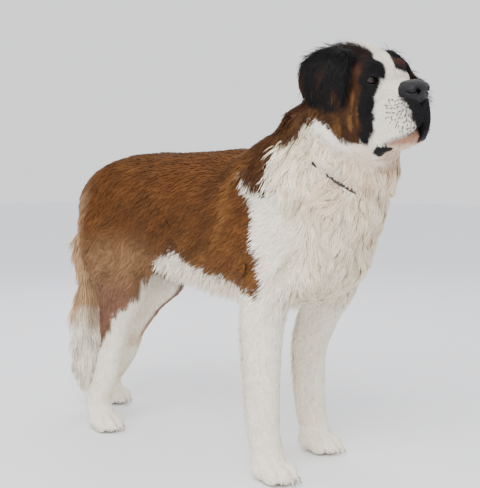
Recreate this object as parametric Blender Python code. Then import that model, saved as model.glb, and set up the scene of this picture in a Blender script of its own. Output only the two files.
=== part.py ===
"""A standing Saint Bernard at life size: torso, neck, head, ears, legs and tail as separate closed solids.

The frame has +X towards the dog's front, +Y to its left and +Z up, with the floor at zero and the origin under the
middle of the model's box. The flesh is lofted through cross-sections, fused by a voxel remesh, smoothed and parted with
thin plane cuts. The long coat is a set of flat, tapered locks that are fused to the node they grow from.
"""

import math
import random
from typing import NamedTuple

import bmesh
import bpy
import numpy as np
from mathutils import Matrix, Vector
from mathutils.bvhtree import BVHTree

# Driving dimensions, in metres
GAP = 0.0003
HEAL = 5e-6
BODY_SHIFT = Vector((-0.0738, 0.0, 0.0))
FORELEG_TOP = 0.385
HINDLEG_TOP = 0.445
HOCK_TOP = 0.238
PAW_TOP = 0.085

# The head turns about the point midway between the eyes
EYES_MIDDLE = Vector((0.601, -0.020, 0.930))
HEAD_TURN = math.radians(-3)
HEAD_LIFT = math.radians(1)
HEAD_TILT = math.radians(8)

UP = Vector((0, 0, 1))
FRONT = Vector((1, 0, 0))


class Ring(NamedTuple):
    """One cross-section of a loft: its centre and its reach across, upwards and downwards."""

    at: tuple
    across: float
    up: float
    down: float


def clear_scene():
    """Empty the file, so that the model is all that it holds."""
    for obj in list(bpy.data.objects):
        bpy.data.objects.remove(obj, do_unlink=True)


def make_object(name, bm):
    """Turn a bmesh into a linked object."""
    mesh = bpy.data.meshes.new(name)
    bm.to_mesh(mesh)
    bm.free()
    obj = bpy.data.objects.new(name, mesh)
    bpy.context.scene.collection.objects.link(obj)
    return obj


def eased(rows, steps):
    """Catmull-Rom rows between the given ones, so that few sections give a smooth form."""
    rows = np.array(rows, float)
    padded = np.vstack([2 * rows[0] - rows[1], rows, 2 * rows[-1] - rows[-2]])
    found = []
    for i in range(len(rows) - 1):
        a, b, c, d = padded[i : i + 4]
        for t in np.arange(steps) / steps:
            cubic = 2 * b + (c - a) * t + (2 * a - 5 * b + 4 * c - d) * t**2 + (3 * b - a - 3 * c + d) * t**3
            found.append(cubic / 2)
    found.append(rows[-1])
    return np.array(found)


def loft(name, rings, upward, place=None, inset=0.0, square=2.2, sides=24, steps=4, cup=0.0):
    """A closed skin through the rings. upward sets which way a section's up reach points.

    cup bends each section, so that both its upper and lower ends lie that far to the side.
    """
    rows = eased([(*r.at, r.across, r.up, r.down) for r in rings], steps)
    centres = rows[:, :3]
    along = np.gradient(centres, axis=0)
    bm = bmesh.new()
    loops = []
    for centre, heading, reach in zip(centres, along, rows[:, 3:]):
        tangent = Vector(heading).normalized()
        up = (Vector(upward) - tangent * tangent.dot(Vector(upward))).normalized()
        side = tangent.cross(up)
        across, above, below = (max(r - inset, 0.004) for r in reach)
        loop = []
        for k in range(sides):
            turn = 2 * math.pi * k / sides
            c, s = math.cos(turn), math.sin(turn)
            scale = (abs(c) ** square + abs(s) ** square) ** (-1 / square)
            high = above if s > 0 else below
            bend = cup * (s * scale) ** 2 * high / 0.06
            loop.append(bm.verts.new(Vector(centre) + side * (across * c * scale + bend) + up * high * s * scale))
        loops.append(loop)
    for first, second in zip(loops, loops[1:]):
        for k in range(sides):
            following = (k + 1) % sides
            bm.faces.new((first[k], first[following], second[following], second[k]))
    bm.faces.new(reversed(loops[0]))
    bm.faces.new(loops[-1])
    bmesh.ops.recalc_face_normals(bm, faces=bm.faces)
    if place is not None:
        bm.transform(place)
    bmesh.ops.triangulate(bm, faces=bm.faces)
    return make_object(name, bm)


def ball(name, centre, radii, place=None, turn=None, sides=24):
    """An ellipsoid, turned about its own middle before it is set in place."""
    bm = bmesh.new()
    bmesh.ops.create_uvsphere(bm, u_segments=sides, v_segments=sides * 2 // 3, radius=1)
    bm.transform(Matrix.Diagonal((*radii, 1)))
    if turn is not None:
        bm.transform(turn)
    bm.transform(Matrix.Translation(centre))
    if place is not None:
        bm.transform(place)
    return make_object(name, bm)


def duplicate(obj):
    """A second object with its own copy of the mesh."""
    made = bpy.data.objects.new(obj.name + "_copy", obj.data.copy())
    bpy.context.scene.collection.objects.link(made)
    return made


def evaluated_copy(name, obj):
    """The object as its modifiers leave it, as a new plain object in its place."""
    graph = bpy.context.evaluated_depsgraph_get()
    mesh = bpy.data.meshes.new_from_object(obj.evaluated_get(graph))
    bpy.data.objects.remove(obj, do_unlink=True)
    made = bpy.data.objects.new(name, mesh)
    bpy.context.scene.collection.objects.link(made)
    return made


def joined(name, pieces):
    """Several meshes as one object, still as separate shells."""
    bm = bmesh.new()
    for piece in pieces:
        bm.from_mesh(piece.data)
        bpy.data.objects.remove(piece, do_unlink=True)
    return make_object(name, bm)


def fused(name, pieces, voxel, passes, triangles):
    """One smooth closed surface round all the pieces, thinned to about that many triangles."""
    obj = joined(name, pieces)
    remesh = obj.modifiers.new("fuse", "REMESH")
    remesh.mode = "VOXEL"
    remesh.voxel_size = voxel
    soften = obj.modifiers.new("soften", "SMOOTH")
    soften.factor = 0.5
    soften.iterations = passes
    return thinned_out(evaluated_copy(name, obj), triangles)


def thinned_out(obj, triangles):
    """The same form with about that many triangles, fewest where it is flattest."""
    obj.data.calc_loop_triangles()
    thin = obj.modifiers.new("thin", "DECIMATE")
    thin.ratio = min(1.0, triangles / len(obj.data.loop_triangles))
    return evaluated_copy(obj.name, obj)


def head_matrix():
    """From the head's own axes, forward, left and up from between the eyes, to the dog's."""
    turned = Matrix.Rotation(HEAD_TURN, 4, "Z") @ Matrix.Rotation(-HEAD_LIFT, 4, "Y")
    return Matrix.Translation(EYES_MIDDLE) @ turned @ Matrix.Rotation(HEAD_TILT, 4, "X")


# Torso sections from the rump to the forechest: x, top, underside, half width
TORSO = [
    (-0.440, 0.625, 0.590, 0.025),
    (-0.428, 0.662, 0.540, 0.058),
    (-0.392, 0.708, 0.495, 0.094),
    (-0.330, 0.748, 0.470, 0.124),
    (-0.240, 0.776, 0.466, 0.145),
    (-0.140, 0.783, 0.464, 0.150),
    (-0.040, 0.782, 0.446, 0.163),
    (0.060, 0.784, 0.425, 0.174),
    (0.150, 0.788, 0.405, 0.180),
    (0.240, 0.780, 0.398, 0.180),
    (0.320, 0.765, 0.400, 0.178),
    (0.400, 0.735, 0.420, 0.166),
    (0.465, 0.705, 0.455, 0.138),
    (0.512, 0.660, 0.510, 0.092),
    (0.530, 0.615, 0.555, 0.038),
]

# Neck sections from inside the shoulders to behind the skull
NECK = [
    Ring((0.170, 0.000, 0.600), 0.150, 0.130, 0.140),
    Ring((0.260, 0.000, 0.665), 0.172, 0.122, 0.210),
    Ring((0.350, -0.003, 0.730), 0.182, 0.096, 0.242),
    Ring((0.420, -0.006, 0.800), 0.176, 0.080, 0.232),
    Ring((0.470, -0.010, 0.862), 0.156, 0.068, 0.190),
    Ring((0.508, -0.014, 0.912), 0.118, 0.060, 0.136),
    Ring((0.528, -0.016, 0.945), 0.060, 0.040, 0.070),
]


def torso_loft():
    """The barrel of the body, from the rump to the forechest."""
    rings = [Ring((x, 0, (top + base) / 2), half, (top - base) / 2, (top - base) / 2) for x, top, base, half in TORSO]
    return loft("torso", rings, UP, square=2.15)


def neck_loft():
    """The neck, out to the full reach of its ruff."""
    return loft("neck", NECK, UP, square=2.1)


class Foreleg(NamedTuple):
    """Where one foreleg stands. side is 1 on the left."""

    side: int
    shoulder_x: float
    foot_x: float
    foot_y: float


class Hindleg(NamedTuple):
    """Where one hind leg bends and stands. side is 1 on the left."""

    side: int
    knee: tuple
    hock: tuple
    foot_x: float
    foot_y: float


FORELEGS = {"right": Foreleg(-1, 0.325, 0.342, -0.130), "left": Foreleg(1, 0.335, 0.282, 0.130)}
HINDLEGS = {
    "right": Hindleg(-1, (-0.120, -0.128, 0.440), (-0.262, -0.094, 0.236), -0.285, -0.116),
    "left": Hindleg(1, (-0.228, 0.120, 0.428), (-0.408, 0.100, 0.220), -0.508, 0.106),
}


def foreleg_rings(leg):
    """Sections of a foreleg from the shoulder down to the foot."""
    x, y, s = leg.shoulder_x, leg.foot_y, leg.side
    fx = leg.foot_x
    return [
        Ring((x - 0.010, s * 0.088, 0.660), 0.050, 0.090, 0.080),
        Ring((x + 0.008, s * 0.114, 0.580), 0.068, 0.105, 0.100),
        Ring((x + 0.006, s * 0.126, 0.500), 0.071, 0.098, 0.086),
        Ring((x * 0.75 + fx * 0.25, s * 0.131, 0.425), 0.066, 0.076, 0.052),
        Ring((x * 0.4 + fx * 0.6 - 0.004, y, 0.350), 0.055, 0.059, 0.046),
        Ring((fx - 0.006, y, 0.275), 0.047, 0.050, 0.047),
        Ring((fx - 0.005, y, 0.205), 0.043, 0.046, 0.045),
        Ring((fx - 0.004, y, 0.150), 0.043, 0.046, 0.044),
        Ring((fx, y, 0.100), 0.041, 0.043, 0.041),
        Ring((fx + 0.012, y, 0.058), 0.042, 0.044, 0.037),
        Ring((fx + 0.020, y, 0.034), 0.036, 0.036, 0.030),
    ]


def hindleg_rings(leg):
    """Sections of a hind leg from the hip to the foot, through its knee and hock."""
    (kx, ky, kz), (hx, hy, hz) = leg.knee, leg.hock
    fx, fy, s = leg.foot_x, leg.foot_y, leg.side
    return [
        Ring((-0.290, s * 0.072, 0.650), 0.045, 0.085, 0.070),
        Ring((-0.284, s * 0.096, 0.595), 0.060, 0.112, 0.098),
        Ring(((kx - 0.29) / 2 - 0.022, s * 0.113, (0.60 + kz) / 2 + 0.005), 0.066, 0.118, 0.108),
        Ring((kx - 0.028, ky, kz + 0.008), 0.060, 0.086, 0.098),
        Ring(((kx + hx) / 2 - 0.012, (ky + hy) / 2, (kz + hz) / 2 + 0.020), 0.048, 0.062, 0.066),
        Ring((hx + 0.024, hy, hz + 0.032), 0.036, 0.045, 0.047),
        Ring((hx + 0.004, hy, hz - 0.025), 0.035, 0.041, 0.039),
        Ring(((hx + fx) / 2, (hy + fy) / 2, 0.130), 0.036, 0.040, 0.037),
        Ring((fx - 0.006, fy, 0.082), 0.037, 0.041, 0.035),
        Ring((fx + 0.010, fy, 0.048), 0.037, 0.038, 0.032),
        Ring((fx + 0.018, fy, 0.032), 0.032, 0.032, 0.028),
    ]


TAIL = [
    Ring((-0.372, 0.000, 0.668), 0.034, 0.026, 0.028),
    Ring((-0.418, 0.000, 0.650), 0.036, 0.032, 0.032),
    Ring((-0.456, 0.000, 0.600), 0.039, 0.036, 0.035),
    Ring((-0.468, -0.001, 0.530), 0.043, 0.040, 0.038),
    Ring((-0.470, -0.002, 0.440), 0.049, 0.044, 0.042),
    Ring((-0.470, -0.004, 0.350), 0.054, 0.048, 0.044),
    Ring((-0.470, -0.006, 0.265), 0.055, 0.048, 0.044),
    Ring((-0.470, -0.008, 0.185), 0.050, 0.044, 0.041),
    Ring((-0.471, -0.010, 0.120), 0.036, 0.033, 0.031),
    Ring((-0.472, -0.011, 0.070), 0.016, 0.015, 0.014),
]


def toe_turns():
    """Place, sideways offset and reach of each toe of a paw, outermost first."""
    return ((-1.5, 0.031, 0.040), (-0.5, 0.0115, 0.058), (0.5, -0.0115, 0.058), (1.5, -0.031, 0.040))


def paw_pieces(foot_x, foot_y, big):
    """The toes and pad of one paw, pointing forwards. big scales a forepaw against a hind one."""
    pieces = [ball("pad", (foot_x + 0.018 * big, foot_y, 0.029), (0.050 * big, 0.044 * big, 0.030))]
    for place, spread, reach in toe_turns():
        aim = Matrix.Rotation(-0.12 * place, 4, "Z") @ Matrix.Rotation(0.30, 4, "Y")
        centre = (foot_x + reach * big, foot_y + spread * big, 0.027)
        pieces.append(ball("toe", centre, (0.036 * big, 0.0165 * big, 0.0225), turn=aim))
    return pieces


# Head sections from the back of the skull to the nose, in the head's own axes: forward, rise, half width, up, down
SKULL = [
    (-0.168, 0.004, 0.030, 0.030, 0.035),
    (-0.150, 0.000, 0.066, 0.062, 0.065),
    (-0.112, -0.004, 0.095, 0.083, 0.085),
    (-0.068, -0.006, 0.100, 0.080, 0.095),
    (-0.030, -0.010, 0.091, 0.070, 0.100),
    (-0.004, -0.016, 0.078, 0.048, 0.095),
    (0.015, -0.030, 0.060, 0.032, 0.076),
    (0.032, -0.037, 0.049, 0.028, 0.056),
    (0.046, -0.040, 0.040, 0.028, 0.044),
    (0.058, -0.042, 0.030, 0.025, 0.036),
    (0.067, -0.044, 0.020, 0.018, 0.026),
    (0.072, -0.046, 0.010, 0.010, 0.014),
]

# One flew from beside the nose back to the corner of the mouth: forward, out, rise, thickness, half height
FLEW = [
    (0.082, 0.006, -0.0650, 0.008, 0.0195),
    (0.079, 0.016, -0.0720, 0.012, 0.0310),
    (0.069, 0.027, -0.0795, 0.015, 0.0395),
    (0.052, 0.036, -0.0860, 0.017, 0.0440),
    (0.034, 0.043, -0.0925, 0.018, 0.0485),
    (0.018, 0.049, -0.1010, 0.019, 0.0540),
    (0.004, 0.053, -0.1060, 0.019, 0.0590),
    (-0.010, 0.056, -0.1020, 0.017, 0.0550),
    (-0.022, 0.057, -0.0930, 0.013, 0.0420),
    (-0.032, 0.056, -0.0850, 0.006, 0.0200),
]

JAW = [
    Ring((-0.046, 0, -0.108), 0.030, 0.014, 0.016),
    Ring((-0.022, 0, -0.119), 0.042, 0.024, 0.031),
    Ring((0.002, 0, -0.127), 0.046, 0.031, 0.036),
    Ring((0.030, 0, -0.125), 0.041, 0.031, 0.034),
    Ring((0.050, 0, -0.121), 0.031, 0.026, 0.028),
    Ring((0.062, 0, -0.117), 0.017, 0.018, 0.017),
]

NOSE = [
    Ring((0.036, 0, -0.035), 0.018, 0.012, 0.014),
    Ring((0.046, 0, -0.035), 0.0310, 0.0205, 0.022),
    Ring((0.060, 0, -0.036), 0.0345, 0.0230, 0.026),
    Ring((0.076, 0, -0.037), 0.0330, 0.0225, 0.026),
    Ring((0.087, 0, -0.039), 0.0260, 0.0175, 0.022),
    Ring((0.091, 0, -0.041), 0.0140, 0.0090, 0.012),
]

EYE_RADIUS = 0.0125
EYE_AT = Vector((-0.004, 0.057, -0.002))
EYE_AIM = math.radians(30)


def head_pieces(place):
    """Skull, brows, cheeks, flews and dewlap."""
    rings = [Ring((x, 0, z), half, up, down) for x, z, half, up, down in SKULL]
    pieces = [loft("skull", rings, UP, place=place, square=2.3)]
    for s in (-1, 1):
        lip = [Ring((x, s * y, z), thick, high, high) for x, y, z, thick, high in FLEW]
        edge = [Ring((x, s * (y + 0.002), z - high + 0.004), 0.006, 0.005, 0.005) for x, y, z, _, high in FLEW]
        pieces += [
            loft("flew", lip, UP, place=place, square=2.6),
            loft("lip", edge, UP, place=place, sides=10),
            ball("brow", (-0.013, s * 0.049, 0.025), (0.026, 0.028, 0.016), place),
            ball("under_eye", (-0.006, s * 0.052, -0.036), (0.032, 0.026, 0.026), place),
            ball("cheek", (-0.050, s * 0.062, -0.050), (0.060, 0.044, 0.062), place),
            ball("jowl", (-0.022, s * 0.050, -0.092), (0.050, 0.032, 0.040), place),
        ]
    pieces.append(ball("throat", (-0.075, 0, -0.112), (0.085, 0.052, 0.045), place))
    return pieces


EAR_CUP = 0.014
EAR = [
    (-0.064, 0.052, 0.044, 0.034, 0.014),
    (-0.068, 0.073, 0.062, 0.046, 0.015),
    (-0.074, 0.094, 0.061, 0.055, 0.015),
    (-0.082, 0.109, 0.040, 0.062, 0.014),
    (-0.086, 0.116, 0.012, 0.063, 0.012),
    (-0.084, 0.116, -0.016, 0.056, 0.011),
    (-0.078, 0.113, -0.042, 0.042, 0.010),
    (-0.076, 0.110, -0.062, 0.025, 0.009),
    (-0.076, 0.108, -0.073, 0.010, 0.005),
]


class EarSet(NamedTuple):
    """How one ear is carried: side, turn of its flap with the rear edge out, swings out and forwards, root's shift."""

    side: int
    turn: float
    swing: float
    forwards: float
    shift: tuple


EARS = {
    "right": EarSet(-1, math.radians(15), 0.0, 0.0, (0, 0, 0)),
    "left": EarSet(1, math.radians(-18), math.radians(27), math.radians(36), (0.004, 0, -0.028)),
}


def ear(name, carried, place):
    """A hanging ear flap: it stands out from its root, then drops beside the cheek, with its hollow side inwards."""
    side = carried.side
    rings = [Ring((x, side * y, z), thick, wide, wide) for x, y, z, wide, thick in EAR]
    hinge = Matrix.Translation((-0.03, side * 0.09, 0))
    turn = hinge @ Matrix.Rotation(-side * carried.turn, 4, "Z") @ hinge.inverted()
    root = Matrix.Translation((0, side * 0.062, 0.050))
    swing = root @ Matrix.Rotation(side * carried.swing, 4, "X") @ root.inverted()
    base = Matrix.Translation((EAR[0][0], 0, 0.050))
    tip = base @ Matrix.Rotation(-carried.forwards, 4, "Y") @ base.inverted()
    turned = place @ Matrix.Translation(carried.shift) @ tip @ swing @ turn
    return loft(name, rings, FRONT, place=turned, square=2.4, sides=12, steps=2, cup=side * EAR_CUP)


def inflated(obj, by):
    """A copy with its skin pushed out, to cut a seat with."""
    bm = bmesh.new()
    bm.from_mesh(obj.data)
    bm.normal_update()
    for vert, normal in [(v, v.normal.copy()) for v in bm.verts]:
        vert.co += normal * by
    return make_object(obj.name + "_seat", bm)


def healed(obj):
    """Close the pinholes and drop the slivers that a Boolean can leave."""
    bm = bmesh.new()
    bm.from_mesh(obj.data)
    bmesh.ops.remove_doubles(bm, verts=bm.verts, dist=HEAL)
    bmesh.ops.dissolve_degenerate(bm, edges=bm.edges, dist=HEAL)
    loose = [e for e in bm.edges if not e.link_faces]
    bmesh.ops.delete(bm, geom=loose, context="EDGES")
    rims = [e for e in bm.edges if len(e.link_faces) == 1]
    if rims:
        bmesh.ops.holes_fill(bm, edges=rims, sides=0)
    bmesh.ops.triangulate(bm, faces=bm.faces)
    bmesh.ops.recalc_face_normals(bm, faces=bm.faces)
    bm.to_mesh(obj.data)
    bm.free()
    return obj


def combined(obj, others, operation, solver="EXACT"):
    """The object after one Boolean with a collection of closed meshes, which are then removed."""
    group = bpy.data.collections.new("operands")
    for other in others:
        for home in list(other.users_collection):
            home.objects.unlink(other)
        group.objects.link(other)
    boolean = obj.modifiers.new("combine", "BOOLEAN")
    boolean.operation = operation
    boolean.solver = solver
    boolean.operand_type = "COLLECTION"
    boolean.collection = group
    made = evaluated_copy(obj.name, obj)
    for other in others:
        bpy.data.objects.remove(other, do_unlink=True)
    bpy.data.collections.remove(group)
    return healed(made)


def seated(host, *guests, solver="EXACT"):
    """The host with a seat for each guest, so that they meet face to face across the gap."""
    return combined(host, [inflated(guest, GAP) for guest in guests], "DIFFERENCE", solver)


def side_of_plane(name, obj, point, normal, keep):
    """The closed part of a mesh on one side of a plane, half a gap from it. keep is 1 for the normal's side."""
    bm = bmesh.new()
    bm.from_mesh(obj.data)
    normal = Vector(normal).normalized()
    where = Vector(point) + normal * keep * GAP / 2
    cut = bmesh.ops.bisect_plane(
        bm, geom=bm.verts[:] + bm.edges[:] + bm.faces[:], plane_co=where, plane_no=normal * keep, clear_inner=True
    )
    rim = [item for item in cut["geom_cut"] if isinstance(item, bmesh.types.BMEdge)]
    caps = bmesh.ops.holes_fill(bm, edges=rim, sides=0)["faces"]
    bmesh.ops.triangulate(bm, faces=caps)
    bmesh.ops.recalc_face_normals(bm, faces=bm.faces)
    return make_object(name, bm)


def melted(obj, onto, point, normal, reach):
    """Draw the surface near a plane onto another mesh, so that both cut nodes meet flush there."""
    tree = surface_of(onto)
    normal = Vector(normal).normalized()
    for vert in obj.data.vertices:
        away = abs((vert.co - Vector(point)).dot(normal)) / reach
        if away < 1:
            share = (1 - away * away) ** 2
            vert.co = vert.co.lerp(tree.find_nearest(vert.co)[0], share)


class Lock(NamedTuple):
    """The named sizes of one sort of lock. cling is how closely its path keeps to the body's form."""

    length: float
    width: float
    thick: float
    root: float
    cling: float


# Depth of a lock's underside below the coat's full reach, as a share of its root's, and its width, from root to tip
LOCK_SINKS = (1.0, 0.40, 0.20, 0.04)
LOCK_WIDTHS = (0.60, 1.00, 0.70)

RUFF_DEPTH = 0.022
THROAT_LOCK = Lock(0.082, 0.074, 0.010, 0.032, 0.90)
RUFF_LOCK = Lock(0.145, 0.080, 0.011, 0.034, 0.88)
CHEST_LOCK = Lock(0.135, 0.074, 0.011, 0.034, 0.85)
BELLY_DEPTH = 0.014
BELLY_LOCK = Lock(0.085, 0.056, 0.007, 0.026, 0.78)
BREECH_DEPTH = 0.012
BREECH_LOCK = Lock(0.110, 0.052, 0.008, 0.026, 0.80)
FEATHER_LOCK = Lock(0.065, 0.024, 0.006, 0.013, 0.60)
TAIL_DEPTH = 0.020
TAIL_LOCK = Lock(0.130, 0.052, 0.009, 0.030, 0.84)
WALL_MARGIN = 0.004
BODY_TRIANGLES = 5500
TAIL_TRIANGLES = 1000


def surface_of(obj):
    """A search tree of a mesh's surface."""
    return BVHTree.FromPolygons([v.co for v in obj.data.vertices], [p.vertices for p in obj.data.polygons])


def lock_path(surface, start, lie, sort, length):
    """Places, headings and outward normals of a lock, from its sunk root to its tip."""
    point, normal = surface.find_nearest(start)[:2]
    path = []
    for sink in LOCK_SINKS:
        heading = (lie - normal * lie.dot(normal)).normalized()
        path.append((point - normal * sink * sort.root, heading, normal))
        ahead = point + heading.lerp(lie, 1 - sort.cling).normalized() * length / (len(LOCK_SINKS) - 1)
        near, turned = surface.find_nearest(ahead)[:2]
        point = ahead.lerp(near, sort.cling)
        normal = normal.lerp(turned, sort.cling).normalized()
    return path


def crosses(path, walls):
    """Whether a lock would reach past one of the planes that its node is parted by."""
    for wall, axis in walls:
        axis = Vector(axis).normalized()
        sides = [(place - Vector(wall)).dot(axis) for place, _, _ in path]
        if min(sides) < WALL_MARGIN and max(sides) > -WALL_MARGIN:
            return True
    return False


def lock(surface, start, lie, sort, walls, draw):
    """One flat, tapered lock of three sides, as long as its walls let it be, or nothing where there is no room."""
    lie = (Vector(lie) + Vector((draw.uniform(-1, 1), draw.uniform(-1, 1), draw.uniform(-1, 1))) * 0.12).normalized()
    wide = sort.width * draw.uniform(0.88, 1.10)
    full = sort.length * draw.uniform(0.88, 1.06)
    for share in (1.0, 0.88, 0.76, 0.64, 0.52, 0.42):
        path = lock_path(surface, Vector(start), lie, sort, full * share)
        if not crosses(path, walls):
            break
    else:
        return []
    bm = bmesh.new()
    loops = []
    for (place, heading, normal), breadth in zip(path, LOCK_WIDTHS):
        side = heading.cross(normal).normalized() * wide * breadth / 2
        loops.append([bm.verts.new(co) for co in (place + side, place - side, place + normal * sort.thick)])
    tip = bm.verts.new(path[-1][0])
    for first, second in zip(loops, loops[1:]):
        for k in range(3):
            bm.faces.new((first[k], first[(k + 1) % 3], second[(k + 1) % 3], second[k]))
    for k in range(3):
        bm.faces.new((loops[-1][k], loops[-1][(k + 1) % 3], tip))
    bm.faces.new(reversed(loops[0]))
    bmesh.ops.triangulate(bm, faces=bm.faces)
    bmesh.ops.recalc_face_normals(bm, faces=bm.faces)
    return [make_object("lock", bm)]


def smooth_step(low, high, value):
    """From 0 at low to 1 at high, easing at both ends."""
    share = min(max((value - low) / (high - low), 0.0), 1.0)
    return share * share * (3 - 2 * share)


def coat_depth(co):
    """How far the core lies inside the coat's full reach."""
    ruff = smooth_step(0.26, 0.36, co.x + 0.15 * (0.8 - co.z)) * smooth_step(0.40, 0.50, co.z)
    under = smooth_step(0.47, 0.43, co.z) * smooth_step(-0.14, -0.06, co.x) * smooth_step(0.26, 0.18, co.x)
    behind = smooth_step(-0.30, -0.36, co.x) * smooth_step(0.64, 0.58, co.z) * smooth_step(0.36, 0.44, co.z)
    return max(RUFF_DEPTH * ruff, BELLY_DEPTH * under, BREECH_DEPTH * behind)


def drawn_in(obj, depth):
    """Draw a mesh in from the coat's full reach to its core."""
    bm = bmesh.new()
    bm.from_mesh(obj.data)
    bm.normal_update()
    for vert, normal in [(v, v.normal.copy()) for v in bm.verts]:
        vert.co -= normal * depth(vert.co)
    bm.to_mesh(obj.data)
    bm.free()


class Tier(NamedTuple):
    """One ring of locks: the point it is centred on, its count and how far round from the front it goes each way."""

    middle: tuple
    count: int
    reach: float
    sort: Lock


RUFF_TIERS = [
    Tier((0.472, -0.010, 0.856), 9, 122, THROAT_LOCK),
    Tier((0.415, -0.006, 0.795), 9, 126, RUFF_LOCK),
    Tier((0.368, -0.003, 0.744), 9, 120, RUFF_LOCK),
]
CHEST_TIERS = [
    Tier((0.300, 0.000, 0.655), 8, 88, CHEST_LOCK),
    Tier((0.315, 0.000, 0.585), 7, 80, CHEST_LOCK),
    Tier((0.330, 0.000, 0.520), 6, 62, CHEST_LOCK),
    Tier((0.340, 0.000, 0.462), 3, 26, CHEST_LOCK),
]


def tier_locks(surface, tier, stagger, front, walls, draw):
    """A tier of locks round the neck or the chest, hanging down and drawn back along the sides."""
    found = []
    for k in range(tier.count):
        turn = math.radians(tier.reach) * (2 * (k + 0.5 + stagger) / tier.count - 1)
        heading = front * math.cos(turn) + Vector((0, 1, 0)) * math.sin(turn)
        hit = surface.ray_cast(Vector(tier.middle) + heading * 0.5, -heading)[0]
        lie = (-0.25 - 0.45 * abs(math.sin(turn / 2)), -0.12 * math.sin(turn), -1.0)
        found += lock(surface, hit, lie, tier.sort, walls, draw)
    return found


def ruff_locks(surface, draw):
    """Locks round the neck and down the chest, in staggered tiers that lie over one another."""
    knees = ((0, 0, FORELEG_TOP), UP)
    found = []
    for place, tier in enumerate(RUFF_TIERS):
        walls = [head_wall(), COLLAR_PLANE, knees]
        found += tier_locks(surface, tier, 0.25 * (-1) ** place, Vector((0.73, 0, -0.69)), walls, draw)
    for place, tier in enumerate(CHEST_TIERS):
        found += tier_locks(surface, tier, 0.25 * (-1) ** place, FRONT, [COLLAR_PLANE, SHOULDER_PLANE, knees], draw)
    return found


def belly_locks(surface, draw):
    """The fringe along the underside."""
    found = []
    for k in range(8):
        start = Vector((0.225 - 0.038 * k, 0.050 if k % 2 else -0.050, 0.1))
        hit = surface.ray_cast(start, UP)[0]
        found += lock(surface, hit, (-0.92, 0, -0.40), BELLY_LOCK, [SHOULDER_PLANE, FLANK_PLANE], draw)
    return found


def breech_locks(surface, draw):
    """The longer coat down the back of each thigh."""
    found = []
    for side in (-1, 1):
        for z, y in ((0.610, 0.070), (0.600, 0.112), (0.560, 0.090), (0.540, 0.132)):
            hit = surface.ray_cast(Vector((-0.7, side * y, z)), FRONT)[0]
            found += lock(surface, hit, (-0.12, 0, -1), BREECH_LOCK, [((0, 0, HINDLEG_TOP), UP)], draw)
    return found


def foreleg_locks(surface, draw):
    """The feather down the back of each forearm."""
    found = []
    for leg in FORELEGS.values():
        for k in range(4):
            start = Vector((leg.foot_x - 0.3, leg.foot_y + 0.014 * (-1) ** k, 0.365 - 0.042 * k))
            hit = surface.ray_cast(start, FRONT)[0]
            found += lock(surface, hit, (-0.38, 0, -1), FEATHER_LOCK, [((0, 0, FORELEG_TOP), UP)], draw)
    return found


def tail_locks(surface, draw):
    """Locks in tiers down the tail."""
    found = []
    for tier in range(6):
        for k in range(4):
            turn = math.pi / 2 * (k + 0.5 * (tier % 2))
            heading = Vector((math.cos(turn), math.sin(turn), 0))
            hit = surface.ray_cast(Vector((-0.468, -0.005, 0.585 - 0.076 * tier)) + heading * 0.3, -heading)[0]
            found += lock(surface, hit, (0, 0, -1), TAIL_LOCK, [TAIL_PLANE], draw)
    return found


def parted(obj, point, normal, ahead, behind):
    """Two named nodes from one mesh, either side of a thin plane cut."""
    made = [side_of_plane(ahead, obj, point, normal, 1), side_of_plane(behind, obj, point, normal, -1)]
    bpy.data.objects.remove(obj, do_unlink=True)
    return made


def islands(obj):
    """Each closed surface of a mesh as a list of its vertices' places, largest first."""
    bm = bmesh.new()
    bm.from_mesh(obj.data)
    left = set(bm.verts)
    found = []
    while left:
        stack = [left.pop()]
        group = set(stack)
        while stack:
            for edge in stack.pop().link_edges:
                for vert in edge.verts:
                    if vert in left:
                        left.remove(vert)
                        group.add(vert)
                        stack.append(vert)
        found.append({v.index for v in group})
    bm.free()
    return sorted(found, key=len, reverse=True)


def only(name, obj, kept):
    """A new object with just these vertices of the mesh and the faces between them."""
    bm = bmesh.new()
    bm.from_mesh(obj.data)
    bmesh.ops.delete(bm, geom=[v for v in bm.verts if v.index not in kept], context="VERTS")
    return make_object(name, bm)


def largest(obj):
    """The node without loose scraps or sealed hollows."""
    found = islands(healed(obj))
    if len(found) == 1:
        return obj
    name = obj.name
    obj.name = name + "_whole"
    made = only(name, obj, found[0])
    bpy.data.objects.remove(obj, do_unlink=True)
    return made


def nearest_island(name, obj, point):
    """The one closed surface of a mesh whose middle is nearest the point, as its own node."""
    def distance(group):
        middle = sum((obj.data.vertices[i].co for i in group), Vector()) / len(group)
        return (middle - Vector(point)).length

    return only(name, obj, min(islands(obj), key=distance))


def paint(obj, colour, roughness, metallic=0.0):
    """Give a node its own material."""
    material = bpy.data.materials.new(obj.name)
    material.use_nodes = True
    shader = material.node_tree.nodes["Principled BSDF"]
    shader.inputs["Base Color"].default_value = (*colour, 1)
    shader.inputs["Roughness"].default_value = roughness
    shader.inputs["Metallic"].default_value = metallic
    material.diffuse_color = (*colour, 1)
    obj.data.materials.clear()
    obj.data.materials.append(material)


HEAD_PLANE = (Vector((-0.115, 0, -0.060)), Vector((0.75, 0, 0.66)))
NECK_PLANE = (Vector((0.34, 0, 0.68)), Vector((0.60, 0, 0.80)))
SHOULDER_PLANE = (Vector((0.15, 0, 0.60)), Vector((0.97, 0, 0.25)))
FLANK_PLANE = (Vector((-0.09, 0, 0.62)), Vector((0.924, 0, 0.381)))
TAIL_PLANE = (Vector((-0.470, 0, 0.400)), Vector((0, 0, 1)))

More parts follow.
